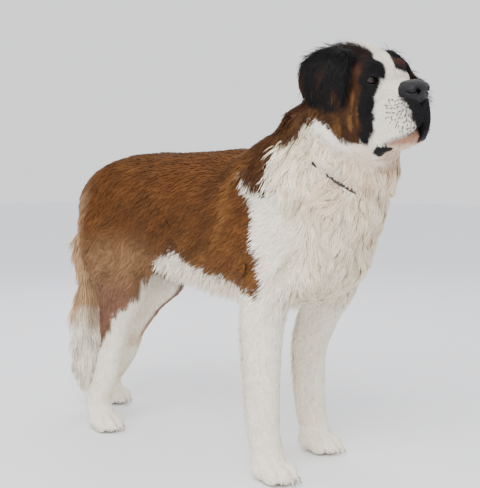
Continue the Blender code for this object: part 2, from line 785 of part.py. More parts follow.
WHITE = (0.78, 0.74, 0.68)
BROWN = (0.33, 0.15, 0.06)
BLACK = (0.025, 0.022, 0.022)
COAT_ROUGHNESS = 0.85
FINISHES = {
    "barrel": (BROWN, COAT_ROUGHNESS, 0.0),
    "rump": (BROWN, COAT_ROUGHNESS, 0.0),
    "tail_root": (BROWN, COAT_ROUGHNESS, 0.0),
    "ear_left": ((0.045, 0.028, 0.022), COAT_ROUGHNESS, 0.0),
    "ear_right": ((0.045, 0.028, 0.022), COAT_ROUGHNESS, 0.0),
    "nose": (BLACK, 0.40, 0.0),
    "eye_left": ((0.035, 0.016, 0.008), 0.06, 0.0),
    "eye_right": ((0.035, 0.016, 0.008), 0.06, 0.0),
    "jaw": ((0.70, 0.58, 0.52), 0.7, 0.0),
    "collar": ((0.02, 0.02, 0.022), 0.5, 0.0),
}


def head_wall():
    """The plane that parts the head from the neck, in the dog's own frame."""
    place = head_matrix()
    return place @ HEAD_PLANE[0], place.to_3x3() @ HEAD_PLANE[1]


def build_trunk(place):
    """Neck, chest, barrel, rump and the four legs, parted from one fused surface."""
    pieces = [torso_loft(), neck_loft()]
    pieces += [loft("foreleg", foreleg_rings(leg), FRONT, square=2.1) for leg in FORELEGS.values()]
    pieces += [loft("hindleg", hindleg_rings(leg), FRONT, square=2.1) for leg in HINDLEGS.values()]
    pieces += head_pieces(place)
    body = fused("body", pieces, 0.0065, 22, 3000)
    surface = surface_of(body)
    drawn_in(body, coat_depth)
    whole = duplicate(body)
    draw = random.Random(7)
    locks = ruff_locks(surface, draw) + belly_locks(surface, draw)
    locks += breech_locks(surface, draw) + foreleg_locks(surface, draw)
    body = healed(thinned_out(combined(body, locks, "UNION", "MANIFOLD"), BODY_TRIANGLES))
    front, rear = parted(body, *FLANK_PLANE, "front", "rear")
    rump, lower_rear = parted(rear, (0, 0, HINDLEG_TOP), UP, "rump", "lower_rear")
    upper, lower_front = parted(front, (0, 0, FORELEG_TOP), UP, "upper", "lower_front")
    legs = {}
    for kind, found, lower in (("foreleg", FORELEGS, lower_front), ("hindleg", HINDLEGS, lower_rear)):
        for name, leg in found.items():
            legs[f"{kind}_{name}"] = nearest_island(f"{kind}_{name}", lower, (leg.foot_x, leg.foot_y, 0.2))
        bpy.data.objects.remove(lower, do_unlink=True)
    foremost, trunk = parted(upper, *NECK_PLANE, "foremost", "trunk")
    rough_head, neck = parted(foremost, *head_wall(), "rough_head", "neck")
    bpy.data.objects.remove(rough_head, do_unlink=True)
    chest, barrel = parted(trunk, *SHOULDER_PLANE, "chest", "barrel")
    nodes = {"neck": neck, "chest": chest, "barrel": barrel, "rump": rump, **legs}
    return whole, {name: largest(node) for name, node in nodes.items()}


def claw(at, heading, big):
    """One blunt claw, pointing down and forwards from its toe."""
    rings = [
        Ring((-0.014, 0, 0.006), 0.0050, 0.0060, 0.0060),
        Ring((-0.004, 0, 0.004), 0.0048, 0.0058, 0.0056),
        Ring((0.005, 0, -0.001), 0.0038, 0.0045, 0.0045),
        Ring((0.011, 0, -0.008), 0.0018, 0.0022, 0.0022),
    ]
    place = Matrix.Translation(at) @ Matrix.Rotation(heading, 4, "Z") @ Matrix.Scale(big, 4)
    return loft("claw", rings, UP, place=place, sides=6, steps=1)


def build_paw(name, whole, leg_piece, foot_x, foot_y, big):
    """A paw below its wrist: pad, toes and claws on small flats at floor level."""
    paw = fused(name + "_whole", [leg_piece] + paw_pieces(foot_x, foot_y, big), 0.0035, 3, 330)
    melted(paw, whole, (0, 0, PAW_TOP), UP, 0.025)
    below = side_of_plane(name + "_low", paw, (0, 0, PAW_TOP), UP, -1)
    bpy.data.objects.remove(paw, do_unlink=True)
    claws = []
    for place, spread, reach in toe_turns():
        at = (foot_x + (reach + 0.033) * big, foot_y + (spread + 0.002 * place) * big, 0.0184)
        claws.append(claw(at, -0.12 * place, big))
    below = combined(below, claws, "UNION")
    trimmed = side_of_plane(name, below, (0, 0, -GAP / 2), UP, 1)
    bpy.data.objects.remove(below, do_unlink=True)
    return largest(trimmed)


def eye_place(side, place):
    """From an eye's own axes, with its gaze along X, to the dog's."""
    at = Vector((EYE_AT.x, side * EYE_AT.y, EYE_AT.z))
    return place @ Matrix.Translation(at) @ Matrix.Rotation(side * EYE_AIM, 4, "Z")


def with_eyes(head, place):
    """The head with lids round an opening for each eye, and the two eyeballs."""
    lids = []
    for side in (-1, 1):
        aim = eye_place(side, place)
        lids.append(ball("upper_lid", (0.0012, 0, 0.0012), (0.0158, 0.0172, 0.0156), aim, sides=12))
        lids.append(ball("lower_lid", (0.0003, 0, -0.0045), (0.0156, 0.0165, 0.0130), aim, sides=12))
    head = combined(head, lids, "UNION")
    openings, eyes = [], {}
    for side, word in ((-1, "right"), (1, "left")):
        aim = eye_place(side, place)
        droop = Matrix.Rotation(side * 0.22, 4, "X")
        openings.append(ball("opening", (0.016, 0, -0.0012), (0.0130, 0.0136, 0.0074), aim, droop, sides=12))
        eyes[f"eye_{word}"] = ball(f"eye_{word}", (0, 0, 0), (EYE_RADIUS,) * 3, aim, sides=15)
    head = combined(head, openings, "DIFFERENCE")
    return seated(head, *eyes.values()), eyes


def build_nose(place):
    """The nose leather with its two nostrils and their side slits."""
    nose = loft("nose", NOSE, UP, place=place, square=2.5, sides=14, steps=2)
    holes = []
    for s in (-1, 1):
        turn = Matrix.Rotation(s * 0.35, 4, "Z")
        holes.append(ball("nostril", (0.086, s * 0.0135, -0.038), (0.012, 0.0060, 0.0064), place, turn, sides=9))
        slit = Matrix.Rotation(s * 1.15, 4, "Z") @ Matrix.Rotation(0.10, 4, "Y")
        holes.append(ball("slit", (0.0805, s * 0.0245, -0.0435), (0.0110, 0.0030, 0.0026), place, slit, sides=9))
    return combined(nose, holes, "DIFFERENCE")


def build_head(whole, place):
    """The head with its lids and lips, and the pieces that are set in it."""
    head = fused("head_whole", [neck_loft()] + head_pieces(place), 0.0030, 5, 3400)
    melted(head, whole, *head_wall(), 0.045)
    front = side_of_plane("head", head, *head_wall(), 1)
    bpy.data.objects.remove(head, do_unlink=True)
    front, eyes = with_eyes(front, place)
    nose = build_nose(place)
    jaw = loft("jaw", JAW, UP, place=place, square=2.4, sides=14, steps=2)
    whole_nose = loft("nose_seat", NOSE, UP, place=place, square=2.5, sides=14, steps=2)
    front = combined(front, [inflated(whole_nose, GAP), inflated(jaw, GAP)], "DIFFERENCE")
    bpy.data.objects.remove(whole_nose, do_unlink=True)
    ears = {f"ear_{word}": ear(f"ear_{word}", carried, place) for word, carried in EARS.items()}
    front.name = "head_cut"
    front = seated(front, *ears.values())
    front.name = "head"
    return {"head": largest(front), "jaw": jaw, "nose": nose, **eyes, **ears}


COLLAR_PLANE = (Vector((0.490, -0.005, 0.745)), Vector((0.69, 0.0, 0.73)).normalized())


def collar_path(neck, count):
    """Points round the neck where the collar's plane meets its surface."""
    middle, axis = COLLAR_PLANE
    across = Vector((0, 1, 0))
    along = axis.cross(across)
    tree = surface_of(neck)
    points = []
    for k in range(count):
        turn = 2 * math.pi * k / count
        heading = across * math.cos(turn) + along * math.sin(turn)
        hit = tree.ray_cast(middle + heading * 0.5, -heading)[0]
        points.append(hit - heading * COLLAR_DEPTH)
    return points


COLLAR_DEPTH = 0.001
COLLAR_RADIUS = 0.0045


def closed_tube(name, points, radius, sides):
    """A closed ring of round section through the points."""
    bm = bmesh.new()
    middle = sum(points, Vector()) / len(points)
    axis = COLLAR_PLANE[1]
    loops = []
    for i, point in enumerate(points):
        tangent = (points[(i + 1) % len(points)] - points[i - 1]).normalized()
        out = tangent.cross(axis).normalized()
        turns = [2 * math.pi * k / sides for k in range(sides)]
        loops.append([bm.verts.new(point + (out * math.cos(t) + axis * math.sin(t)) * radius) for t in turns])
    for i, loop in enumerate(loops):
        after = loops[(i + 1) % len(loops)]
        for k in range(sides):
            bm.faces.new((loop[k], after[k], after[(k + 1) % sides], loop[(k + 1) % sides]))
    bmesh.ops.recalc_face_normals(bm, faces=bm.faces)
    bmesh.ops.triangulate(bm, faces=bm.faces)
    return make_object(name, bm)


def build_tail():
    """The tail: a slim core under its brush of locks."""
    reach = loft("tail_reach", TAIL, FRONT, square=2.1, sides=12, steps=2)
    core = loft("tail", TAIL, FRONT, square=2.1, inset=TAIL_DEPTH, sides=10, steps=2)
    locks = tail_locks(surface_of(reach), random.Random(11))
    bpy.data.objects.remove(reach, do_unlink=True)
    return healed(thinned_out(combined(core, locks, "UNION", "MANIFOLD"), TAIL_TRIANGLES))


def main():
    """Build the dog."""
    clear_scene()
    place = head_matrix()
    whole, nodes = build_trunk(place)
    for kind, found, big in (("fore", FORELEGS, 1.0), ("hind", HINDLEGS, 0.92)):
        for name, leg in found.items():
            rings = foreleg_rings(leg) if kind == "fore" else hindleg_rings(leg)
            piece = loft("wrist", rings[4:], FRONT, square=2.1, inset=0.001)
            nodes[f"{kind}paw_{name}"] = build_paw(f"{kind}paw_{name}", whole, piece, leg.foot_x, leg.foot_y, big)
            upper = nodes[f"{kind}leg_{name}"]
            upper.name = "whole_leg"
            nodes[f"{kind}leg_{name}"] = side_of_plane(f"{kind}leg_{name}", upper, (0, 0, PAW_TOP), UP, 1)
            bpy.data.objects.remove(upper, do_unlink=True)
    for name in HINDLEGS:
        upper = nodes[f"hindleg_{name}"]
        upper.name = "whole_leg"
        parts = parted(upper, (0, 0, HOCK_TOP), UP, f"hindleg_{name}", f"hock_{name}")
        nodes[f"hindleg_{name}"], nodes[f"hock_{name}"] = parts
    nodes.update(build_head(whole, place))
    ears = [nodes["ear_right"], nodes["ear_left"]]
    nodes["collar"] = closed_tube("collar", collar_path(whole, 22), COLLAR_RADIUS, 5)
    nodes["neck"] = largest(seated(nodes["neck"], nodes["collar"], *ears))
    bpy.data.objects.remove(whole, do_unlink=True)
    tail = build_tail()
    nodes["rump"] = largest(seated(nodes["rump"], tail))
    nodes["tail_root"], nodes["tail_brush"] = map(largest, parted(tail, *TAIL_PLANE, "tail_root", "tail_brush"))
    dog = bpy.data.objects.new("dog", None)
    dog.location = BODY_SHIFT
    bpy.context.scene.collection.objects.link(dog)
    for name, obj in nodes.items():
        obj.name = name
        obj.parent = dog
        for polygon in obj.data.polygons:
            polygon.use_smooth = True
        colour, roughness, metallic = FINISHES.get(name, (WHITE, COAT_ROUGHNESS, 0.0))
        paint(obj, colour, roughness, metallic)


main()
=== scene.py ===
"""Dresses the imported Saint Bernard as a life-size museum model, with its floor, light and camera.

The skin is one smooth surface made from the flesh nodes. The coat is solid mesh tufts over it, which follow
the lie of the fur. Skin and coat take their markings from the same formulas, in the dog's frame: +X front,
+Y left, +Z up. Places on the head are also read in the head's own axes: f forwards, l left, u up.
"""

import logging
import math
from dataclasses import dataclass, field
from enum import Enum
from typing import Callable, Sequence

import bmesh
import bpy
import numpy as np
from mathutils import Matrix, Vector
from mathutils.bvhtree import BVHTree
from mathutils.kdtree import KDTree

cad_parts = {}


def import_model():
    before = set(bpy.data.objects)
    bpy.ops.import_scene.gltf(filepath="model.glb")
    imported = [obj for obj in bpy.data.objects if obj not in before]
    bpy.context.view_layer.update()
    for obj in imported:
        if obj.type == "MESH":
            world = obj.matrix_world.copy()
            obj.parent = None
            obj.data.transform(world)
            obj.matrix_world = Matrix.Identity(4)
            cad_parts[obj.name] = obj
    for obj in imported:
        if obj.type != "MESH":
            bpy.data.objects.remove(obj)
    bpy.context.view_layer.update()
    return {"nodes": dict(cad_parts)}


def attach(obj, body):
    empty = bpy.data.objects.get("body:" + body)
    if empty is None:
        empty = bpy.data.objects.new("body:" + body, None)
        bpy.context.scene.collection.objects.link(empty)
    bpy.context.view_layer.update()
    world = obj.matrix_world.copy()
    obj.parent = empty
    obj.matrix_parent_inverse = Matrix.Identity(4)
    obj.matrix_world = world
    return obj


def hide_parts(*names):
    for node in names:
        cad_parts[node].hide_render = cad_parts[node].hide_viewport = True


LOG = logging.getLogger("saint_bernard")
Array, Material, Mesh, Object = np.ndarray, bpy.types.Material, bpy.types.Mesh, bpy.types.Object
Colour = tuple[float, float, float]

BODY_NODES = (
    "neck", "chest", "barrel", "rump", "tail_root", "tail_brush",
    "foreleg_left", "foreleg_right", "hindleg_left", "hindleg_right", "hock_left", "hock_right",
)
PAW_NODES = ("forepaw_left", "forepaw_right", "hindpaw_left", "hindpaw_right")
HEAD_NODES = ("head", "ear_left", "ear_right")

# The head's own axes: forward, left and up from between the eyes
EYES_MIDDLE = Vector((0.5272, -0.020, 0.930))
HEAD_TURN = math.radians(-3)
HEAD_LIFT = math.radians(1)
HEAD_TILT = math.radians(8)
HEAD_AXES = (
    Matrix.Translation(EYES_MIDDLE)
    @ Matrix.Rotation(HEAD_TURN, 4, "Z")
    @ Matrix.Rotation(-HEAD_LIFT, 4, "Y")
    @ Matrix.Rotation(HEAD_TILT, 4, "X")
)
HEAD_TURNED = np.array(HEAD_AXES)[:3, :3]
# A point on the plane that parts the head from the neck, and its normal
HEAD_WALL = (
    HEAD_AXES @ Vector((-0.115, 0, -0.060)),
    (HEAD_AXES.to_3x3() @ Vector((0.75, 0, 0.66))).normalized(),
)
# The darkest value that a colour is stored with
DARKEST = 0.002
# The cells that part roots: the smallest one's breadth, and the random draws for one cell, of which one stays
SMALLEST_CELL = 0.001
DRAWS_PER_CELL = 1.8
# What a lock's edge loses of red, green and blue, for the shade between locks
LOCK_SHADE = np.array((0.10, 0.15, 0.23))


class Wrap(Enum):
    """How a piece's roots are laid out flat for baking."""

    ALONG_X = "x"
    ALONG_Z = "z"
    ROUND = "round"


def ease(low: float, high: float, value: Array) -> Array:
    """From 0 at low to 1 at high, easing at both ends. low may be the larger one."""
    share = np.clip((value - low) / (high - low), 0.0, 1.0)
    return share * share * (3 - 2 * share)


def mixed(first: Array, second: Sequence[float], share: Array) -> Array:
    """Rows of a colour or direction, drawn towards another by a share."""
    return first + (np.asarray(second, float) - first) * share[:, None]


def ripple(points: Array, size: float, seed: int) -> Array:
    """A smooth random field from -1 to 1 with features of about the given size.

    Args:
        points: places, one row each.
        size: the width of its features, in metres.
        seed: picks the field.

    Returns:
        One value for each place.
    """
    rng = np.random.default_rng(seed)
    waves = rng.normal(size=(7, 3))
    waves *= (2 * math.pi / size) * rng.uniform(0.35, 1.0, (7, 1)) / np.linalg.norm(waves, axis=1)[:, None]
    return np.sin(points @ waves.T + rng.uniform(0, 2 * math.pi, 7)).sum(1) / 3.2


def unit(rows: Array) -> Array:
    """The same directions at length one."""
    return rows / np.maximum(np.linalg.norm(rows, axis=1), 1e-9)[:, None]


def head_local(points: Array) -> Array:
    """Places in the head's own axes."""
    back = np.array(HEAD_AXES.inverted())
    return points @ back[:3, :3].T + back[:3, 3]


@dataclass(frozen=True)
class Palette:
    """The coat's and skin's colours, in linear light."""

    white: Colour = (0.90, 0.845, 0.735)
    face_white: Colour = (0.74, 0.685, 0.595)
    cream: Colour = (0.84, 0.720, 0.540)
    peach: Colour = (0.80, 0.620, 0.455)
    brown: Colour = (0.115, 0.0440, 0.0125)
    dark_brown: Colour = (0.055, 0.023, 0.0090)
    golden: Colour = (0.205, 0.0920, 0.0275)
    rosy: Colour = (0.200, 0.096, 0.0590)
    beige: Colour = (0.560, 0.355, 0.1950)
    face_brown: Colour = (0.040, 0.0165, 0.0065)
    face_gold: Colour = (0.125, 0.0560, 0.0165)
    brow_red: Colour = (0.060, 0.024, 0.017)
    black: Colour = (0.0060, 0.0054, 0.0058)
    leather: Colour = (0.0078, 0.0076, 0.0084)
    lip_pink: Colour = (0.350, 0.115, 0.100)
    chin: Colour = (0.370, 0.200, 0.130)


def gaussian(*terms: Array) -> Array:
    """A smooth bump: 1 where every scaled offset is 0."""
    return np.exp(-sum(term**2 for term in terms))


def repeated(values: Sequence[float], count: int) -> Array:
    """One colour or direction, repeated in rows."""
    return np.tile(np.array(values), (count, 1))


def distance_to(path: Sequence[Sequence[float]], points: Array) -> Array:
    """The distance from each place to a path of a few straight stretches.

    Args:
        path: the path's corners.
        points: places, one row each.

    Returns:
        One distance for each place.
    """
    nearest = np.full(len(points), 1e9)
    for start, end in zip(np.array(path[:-1], float), np.array(path[1:], float)):
        along = end - start
        share = np.clip((points - start) @ along / (along @ along), 0, 1)
        nearest = np.minimum(nearest, np.linalg.norm(points - start - share[:, None] * along, axis=1))
    return nearest


def table_line(table: Sequence[Sequence[float]], value: Array) -> Array:
    """Reads a boundary that is given as pairs."""
    pairs = np.array(table)
    return np.interp(value, pairs[:, 0], pairs[:, 1])


@dataclass(frozen=True)
class Markings:
    """Where the coat changes colour, by boundaries of a few points each, shared by skin and tufts."""

    palette: Palette = Palette()
    saddle_front: tuple = ((0.40, 0.285), (0.44, 0.296), (0.49, 0.295), (0.55, 0.283), (0.60, 0.264),
                           (0.67, 0.246), (0.724, 0.236), (0.74, 0.240), (0.86, 0.250))
    nape_low: tuple = ((0.236, 0.735), (0.246, 0.724), (0.265, 0.700), (0.295, 0.690), (0.316, 0.672),
                       (0.325, 0.719), (0.346, 0.792), (0.377, 0.812), (0.40, 0.828), (0.432, 0.835),
                       (0.446, 0.826), (0.462, 0.800), (0.477, 0.785), (0.50, 0.777))
    saddle_low: tuple = ((-0.16, 0.44), (-0.10, 0.505), (0.002, 0.528), (0.08, 0.490), (0.14, 0.478),
                         (0.245, 0.456), (0.285, 0.436))
    thigh_front: tuple = ((0.235, -0.345), (0.26, -0.325), (0.287, -0.291), (0.336, -0.252),
                          (0.363, -0.205), (0.394, -0.173), (0.456, -0.144), (0.50, -0.12), (0.53, 0.30))
    gold_band: tuple = ((0.46, 0.060), (0.511, 0.094), (0.564, 0.157), (0.612, 0.173), (0.682, 0.184),
                        (0.769, 0.261))
    flank_fold: tuple = ((0.50, 0.010), (0.543, 0.0), (0.576, -0.004), (0.617, -0.045), (0.649, -0.098),
                         (0.69, -0.150))
    near_mask_top: tuple = ((-0.09, 0.006), (-0.040, -0.002), (-0.013, -0.022), (-0.004, -0.032),
                            (0.010, -0.022), (0.021, -0.027), (0.032, -0.050), (0.045, -0.080))
    far_mask_top: tuple = ((-0.09, 0.050), (-0.040, 0.042), (-0.010, 0.034), (0.001, 0.020), (0.012, 0.010),
                           (0.024, 0.006), (0.034, 0.020), (0.045, 0.080))
    mask_front: tuple = ((-0.16, -0.010), (-0.135, 0.000), (-0.108, 0.009), (-0.053, 0.013), (-0.015, 0.021),
                         (0.01, 0.026), (0.03, 0.060))
    mask_back: tuple = ((-0.14, -0.012), (-0.087, -0.013), (-0.034, -0.011), (0.018, -0.012), (0.045, -0.026))
    cheek_low: tuple = ((-0.16, -0.080), (-0.13, -0.074), (-0.100, -0.072), (-0.076, -0.080),
                        (-0.060, -0.105), (-0.046, -0.120), (-0.016, -0.136), (0.01, -0.142))
    lip_edge: tuple = ((0.080, 0.022, -0.1185), (0.071, 0.032, -0.1235), (0.064, 0.0405, -0.1255),
                       (0.052, 0.0495, -0.130), (0.042, 0.056, -0.133), (0.033, 0.061, -0.1375),
                       (0.024, 0.064, -0.142))
    leather_side: tuple = ((-0.140, 0.016), (-0.115, 0.025), (-0.105, 0.0290), (-0.095, 0.0325),
                           (-0.077, 0.0370), (-0.060, 0.0400), (-0.050, 0.0410), (-0.035, 0.036))
    lobe_middle: tuple = (0.014, 0.056, -0.1560)
    spot_size: tuple = (0.0090, 0.0078)
    spot_tint: Colour = (0.05, 0.048, 0.050)
    throat_tint: Colour = (0.60, 0.400, 0.270)
    # The painted shade in the chin's wrinkles
    crease_tint: Colour = (0.30, 0.140, 0.095)
    tail_white: float = 0.322

    def brown_body(self, p: Array, n: Array) -> Array:
        """From 0 where the body is white to 1 where it is brown.

        Args:
            p: places on the skin.
            n: outward normals there.

        Returns:
            One value for each place.
        """
        x, y, z = p.T
        jitter = ripple(p, 0.030, 3) * 0.006 + ripple(p, 0.010, 4) * 0.003
        ahead = x - table_line(self.saddle_front, z) + jitter
        above = z - table_line(self.saddle_low, x) + jitter
        behind = table_line(self.thigh_front, z) - x + jitter
        flank = ease(0.005, -0.005, ahead) * ease(-0.006, 0.006, above)
        nape = ease(-0.006, 0.006, z - table_line(self.nape_low, x) + jitter) * ease(0.21, 0.236, x)
        outward = np.sign(y) * n[:, 1]
        outer = np.maximum(ease(-0.30, 0.10, outward), ease(0.47, 0.52, z))
        thigh = ease(-0.005, 0.008, behind) * outer * ease(-0.08, -0.12, x) * ease(0.22, 0.245, z)
        brown = np.clip(np.maximum(np.maximum(flank, nape), thigh), 0, 1)
        tail = (x < -0.462) & (np.abs(y) < 0.060) & (z < 0.66)
        return np.where(tail, ease(self.tail_white - 0.03, self.tail_white + 0.04, z + jitter * 3), brown)

    def body(self, p: Array, n: Array) -> Array:
        """Colours of the body, legs and tail.

        Args:
            p: places on the skin.
            n: outward normals there.

        Returns:
            One linear colour for each place.
        """
        pale = self.pale_coat(p, n)
        return pale + (self.brown_coat(p) - pale) * self.brown_body(p, n)[:, None]

    def brown_coat(self, p: Array) -> Array:
        """The browns of the saddle, nape and thighs, wherever they would be.

        Args:
            p: places on the skin.

        Returns:
            One linear colour for each place.
        """
        tone = self.palette
        x, y, z = p.T
        coat = repeated(tone.brown, len(p))
        coat = mixed(coat, tone.dark_brown, 0.75 * ease(0.70, 0.79, z) * ease(0.10, 0.0, np.abs(y)))
        coat = mixed(coat, tone.dark_brown, 0.80 * ease(0.23, 0.27, x) * ease(0.64, 0.68, z))
        coat = mixed(coat, tone.golden, 0.42 * ease(0.62, 0.47, z) * ease(-0.10, 0.05, x))
        behind_band = x - table_line(self.gold_band, z)
        band = gaussian((behind_band + 0.006 * ripple(p, 0.05, 7)) / 0.016)
        coat = mixed(coat, tone.golden, 0.62 * band * ease(0.48, 0.54, z) * ease(0.80, 0.72, z))
        shade = gaussian((behind_band + 0.050) / 0.022) * ease(0.48, 0.56, z)
        coat = mixed(coat, tone.dark_brown, 0.35 * shade)
        # Painted shade along the flank's fold: darker brown down the crease
        fold = gaussian((x - table_line(self.flank_fold, z)) / 0.010) * ease(0.50, 0.54, z)
        coat = mixed(coat, tone.dark_brown, 0.60 * fold * ease(0.69, 0.65, z))
        loin = ease(-0.05, -0.16, x) * ease(0.60, 0.50, z)
        coat = mixed(coat, tone.beige, 0.24 * loin)
        coat = mixed(coat, tone.rosy, 0.75 * ease(0.47, 0.40, z) * ease(-0.10, -0.14, x))
        rear = ease(-0.34, -0.41, x) * ease(0.74, 0.60, z)
        coat = mixed(coat, tone.beige, 0.80 * rear)
        streak = ripple(p * (0.6, 1.0, 1.4), 0.024, 8)
        return coat * (1 + 0.18 * streak + 0.09 * ripple(p, 0.009, 9))[:, None]

    def pale_coat(self, p: Array, n: Array) -> Array:
        """The whites of the body, creamy on the ruff and the throat; the cream where the skin faces down and
        on the legs' insides is painted shade.

        Args:
            p: places on the skin.
            n: outward normals there.

        Returns:
            One linear colour for each place.
        """
        tone = self.palette
        x, y, z = p.T
        throat = ease(0.36, 0.48, x) * ease(0.48, 0.66, z)
        throat = throat + 0.6 * ease(0.46, 0.50, x) * ease(0.66, 0.74, z)
        peach = np.clip(0.55 * throat * (0.75 + 0.6 * ripple(p, 0.07, 5)), 0, 0.8)
        patchy = ease(0.1, 1.0, ripple(p, 0.055, 14)) * ease(0.30, 0.40, x)
        # Painted shade: cream where the skin faces down and on the legs' inner sides
        under = ease(-0.2, -0.8, n[:, 2]) * ease(0.30, 0.40, z)
        inner_leg_shade = ease(0.42, 0.30, z) * ease(0.1, -0.6, np.sign(y) * n[:, 1])
        stain = ease(0.36, 0.10, z) * ease(0.2, 0.9, ripple(p, 0.05, 6))
        heel = ease(0.03, 0.0, np.hypot(x + 0.435, z - 0.22)) * (y > 0)
        pale = repeated(tone.white, len(p))
        for tint, share in (
            (tone.cream, 0.45 * ease(0.28, 0.38, x) * ease(0.36, 0.50, z)),
            (tone.peach, peach), (tone.cream, 0.35 * patchy), (tone.cream, 0.35 * under),
            (tone.cream, 0.35 * inner_leg_shade), (tone.cream, 0.30 * stain), (tone.beige, 0.6 * heel),
        ):
            pale = mixed(pale, tint, share)
        return pale * (1 + 0.04 * ripple(p, 0.012, 12))[:, None]

    def leather(self, p: Array) -> Array:
        """From 0 on furred skin to 1 on the dark bare leather round the nose and mouth.

        Args:
            p: places on the skin.

        Returns:
            One value for each place.
        """
        f, l, u = head_local(p).T
        folded = np.stack([f, np.abs(l), u], 1)
        wobble = ripple(p, 0.014, 26) * 0.0016 + ripple(p, 0.005, 29) * 0.0012
        side = table_line(self.leather_side, u) - np.abs(l) + wobble
        front = ease(-0.0040, 0.0030, side) * ease(0.048, 0.056, f) * ease(-0.036, -0.044, u)
        from_lobe = np.linalg.norm((folded - self.lobe_middle) * (0.95, 0.9, 1.35), axis=1)
        lobe = ease(0.0205, 0.0175, from_lobe + wobble * 2)
        return np.clip(np.maximum(front, lobe * ease(0.052, 0.040, f)), 0, 1)

    def grizzle(self, p: Array) -> Array:
        """From 0 on white fur to 1 in a dark spot: a whisker's, beside the leather, or along the lip.

        Args:
            p: places on the skin.

        Returns:
            One value for each place.
        """
        f, l, u = head_local(p).T
        reach = np.abs(l) - table_line(self.leather_side, u)
        zone = ease(0.026, 0.016, reach) * ease(0.028, 0.040, f) * ease(-0.044, -0.056, u)
        across, up = (f * 0.9 - np.abs(l) * 0.45) / self.spot_size[0], u / self.spot_size[1]
        row = np.floor(up)
        across = across + 0.5 * (row % 2) + 0.3 * np.sin(row * 12.9)
        column = np.floor(across)
        place = np.stack([across - column - 0.5, up - row - 0.5], 1)
        place += 0.20 * np.sin(np.stack([column * 7.1 + row * 3.3, column * 5.7 + row * 9.1], 1))
        spot = ease(0.26, 0.17, np.linalg.norm(place, axis=1))
        lip = gaussian(distance_to(self.lip_edge, np.stack([f, np.abs(l), u], 1)) / 0.0040)
        speckle = ease(0.0, 0.6, ripple(p, 0.0046, 34))
        beside = ease(0.014, 0.0, reach) * zone
        return np.clip(zone * spot + speckle * beside + lip * (0.5 + 0.5 * speckle), 0, 1)

    def chin(self, p: Array) -> Array:
        """From 0 to 1 on the pink skin under the lip line, inside the flews.

        Args:
            p: places on the skin.

        Returns:
            One value for each place.
        """
        f, l, u = head_local(p).T
        lip = np.array(self.lip_edge)[::-1]
        below = np.interp(f, lip[:, 0], lip[:, 2]) - u
        inside = np.interp(f, lip[:, 0], lip[:, 1]) + 0.004 - np.abs(l)
        return ease(0.001, 0.004, below) * ease(-0.002, 0.003, inside) * ease(0.026, 0.032, f)

    def head(self, p: Array) -> Array:
        """Colours of the head, with the blaze, the black masks, the brown cheeks and the dark lips.

        Args:
            p: places on the skin.

        Returns:
            One linear colour for each place.
        """
        f, l, u = head_local(p).T
        wave = ripple(p, 0.022, 21) * 0.0026 + ripple(p, 0.008, 22) * 0.0014
        near = table_line(self.near_mask_top, f) + wave
        far = table_line(self.far_mask_top, f) + wave
        white_top = ease(-0.003, 0.003, l - near) * ease(0.003, -0.003, l - far)
        muzzle = ease(-0.003, 0.003, f - table_line(self.mask_front, u) - wave)
        low = ease(0.004, -0.004, u - table_line(self.cheek_low, f) - wave)
        white = np.clip(np.maximum(np.maximum(white_top, muzzle), low), 0, 1)
        pale = self.pale_face(p)
        tint = pale + (self.dark_face(p, wave) - pale) * (1 - white)[:, None]
        return mixed(mixed(tint, self.chin_tint(p), self.chin(p)), self.palette.leather, self.leather(p))

    def dark_face(self, p: Array, wave: Array) -> Array:
        """The dark parts of the face: black masks and crown, brown cheeks with gold, and reddish brows.

        Args:
            p: places on the skin.
            wave: how far the markings' edges wander there.

        Returns:
            One linear colour for each place.
        """
        tone = self.palette
        f, l, u = head_local(p).T
        dark = repeated(tone.face_brown, len(p))
        gold = ease(0.0, 0.9, ripple(p * (1.6, 1.6, 0.35), 0.018, 23)) * ease(0.01, -0.06, u)
        dark = mixed(dark, tone.face_gold, 0.85 * gold)
        mask = ease(-0.004, 0.004, f - table_line(self.mask_back, u) + wave)
        dark = mixed(dark, tone.black, mask * ease(0.052, 0.044, u))
        crown = ease(0.034, 0.048, u) * ease(0.012, 0.0, f)
        dark = mixed(dark, tone.black, 0.88 * crown * (0.80 + 0.20 * ripple(p, 0.02, 24)))
        brow = gaussian((f + 0.019) / 0.012, (u - 0.024) / 0.014)
        dark = mixed(dark, tone.brow_red, 0.85 * brow)
        far_brow = ease(0.0, 0.02, l) * gaussian((f - 0.002) / 0.016, (u - 0.026) / 0.016)
        dark = mixed(dark, tone.brow_red, 0.9 * far_brow)
        return dark * (1 + 0.14 * ripple(p, 0.010, 27))[:, None]

    def pale_face(self, p: Array) -> Array:
        """The whites of the face, tan under the chin, with the whiskers' dark spots.

        Args:
            p: places on the skin.

        Returns:
            One linear colour for each place.
        """
        tone = self.palette
        f, l, u = head_local(p).T
        pale = repeated(tone.face_white, len(p))
        pale = mixed(pale, tone.peach, 0.60 * ease(-0.120, -0.15, u) * ease(0.02, -0.02, f))
        under = ease(-0.148, -0.160, u) * ease(0.060, 0.040, np.abs(l)) * ease(-0.05, -0.01, f)
        # The tan under the chin is the skin's own colour; its wrinkle streaks are painted shade of the
        # throat's folds
        wrinkled = 0.8 + 0.3 * ripple(p * (2.0, 2.0, 0.5), 0.012, 36)
        pale = mixed(pale, self.throat_tint, 0.75 * under * wrinkled)
        return mixed(pale, self.spot_tint, self.grizzle(p))

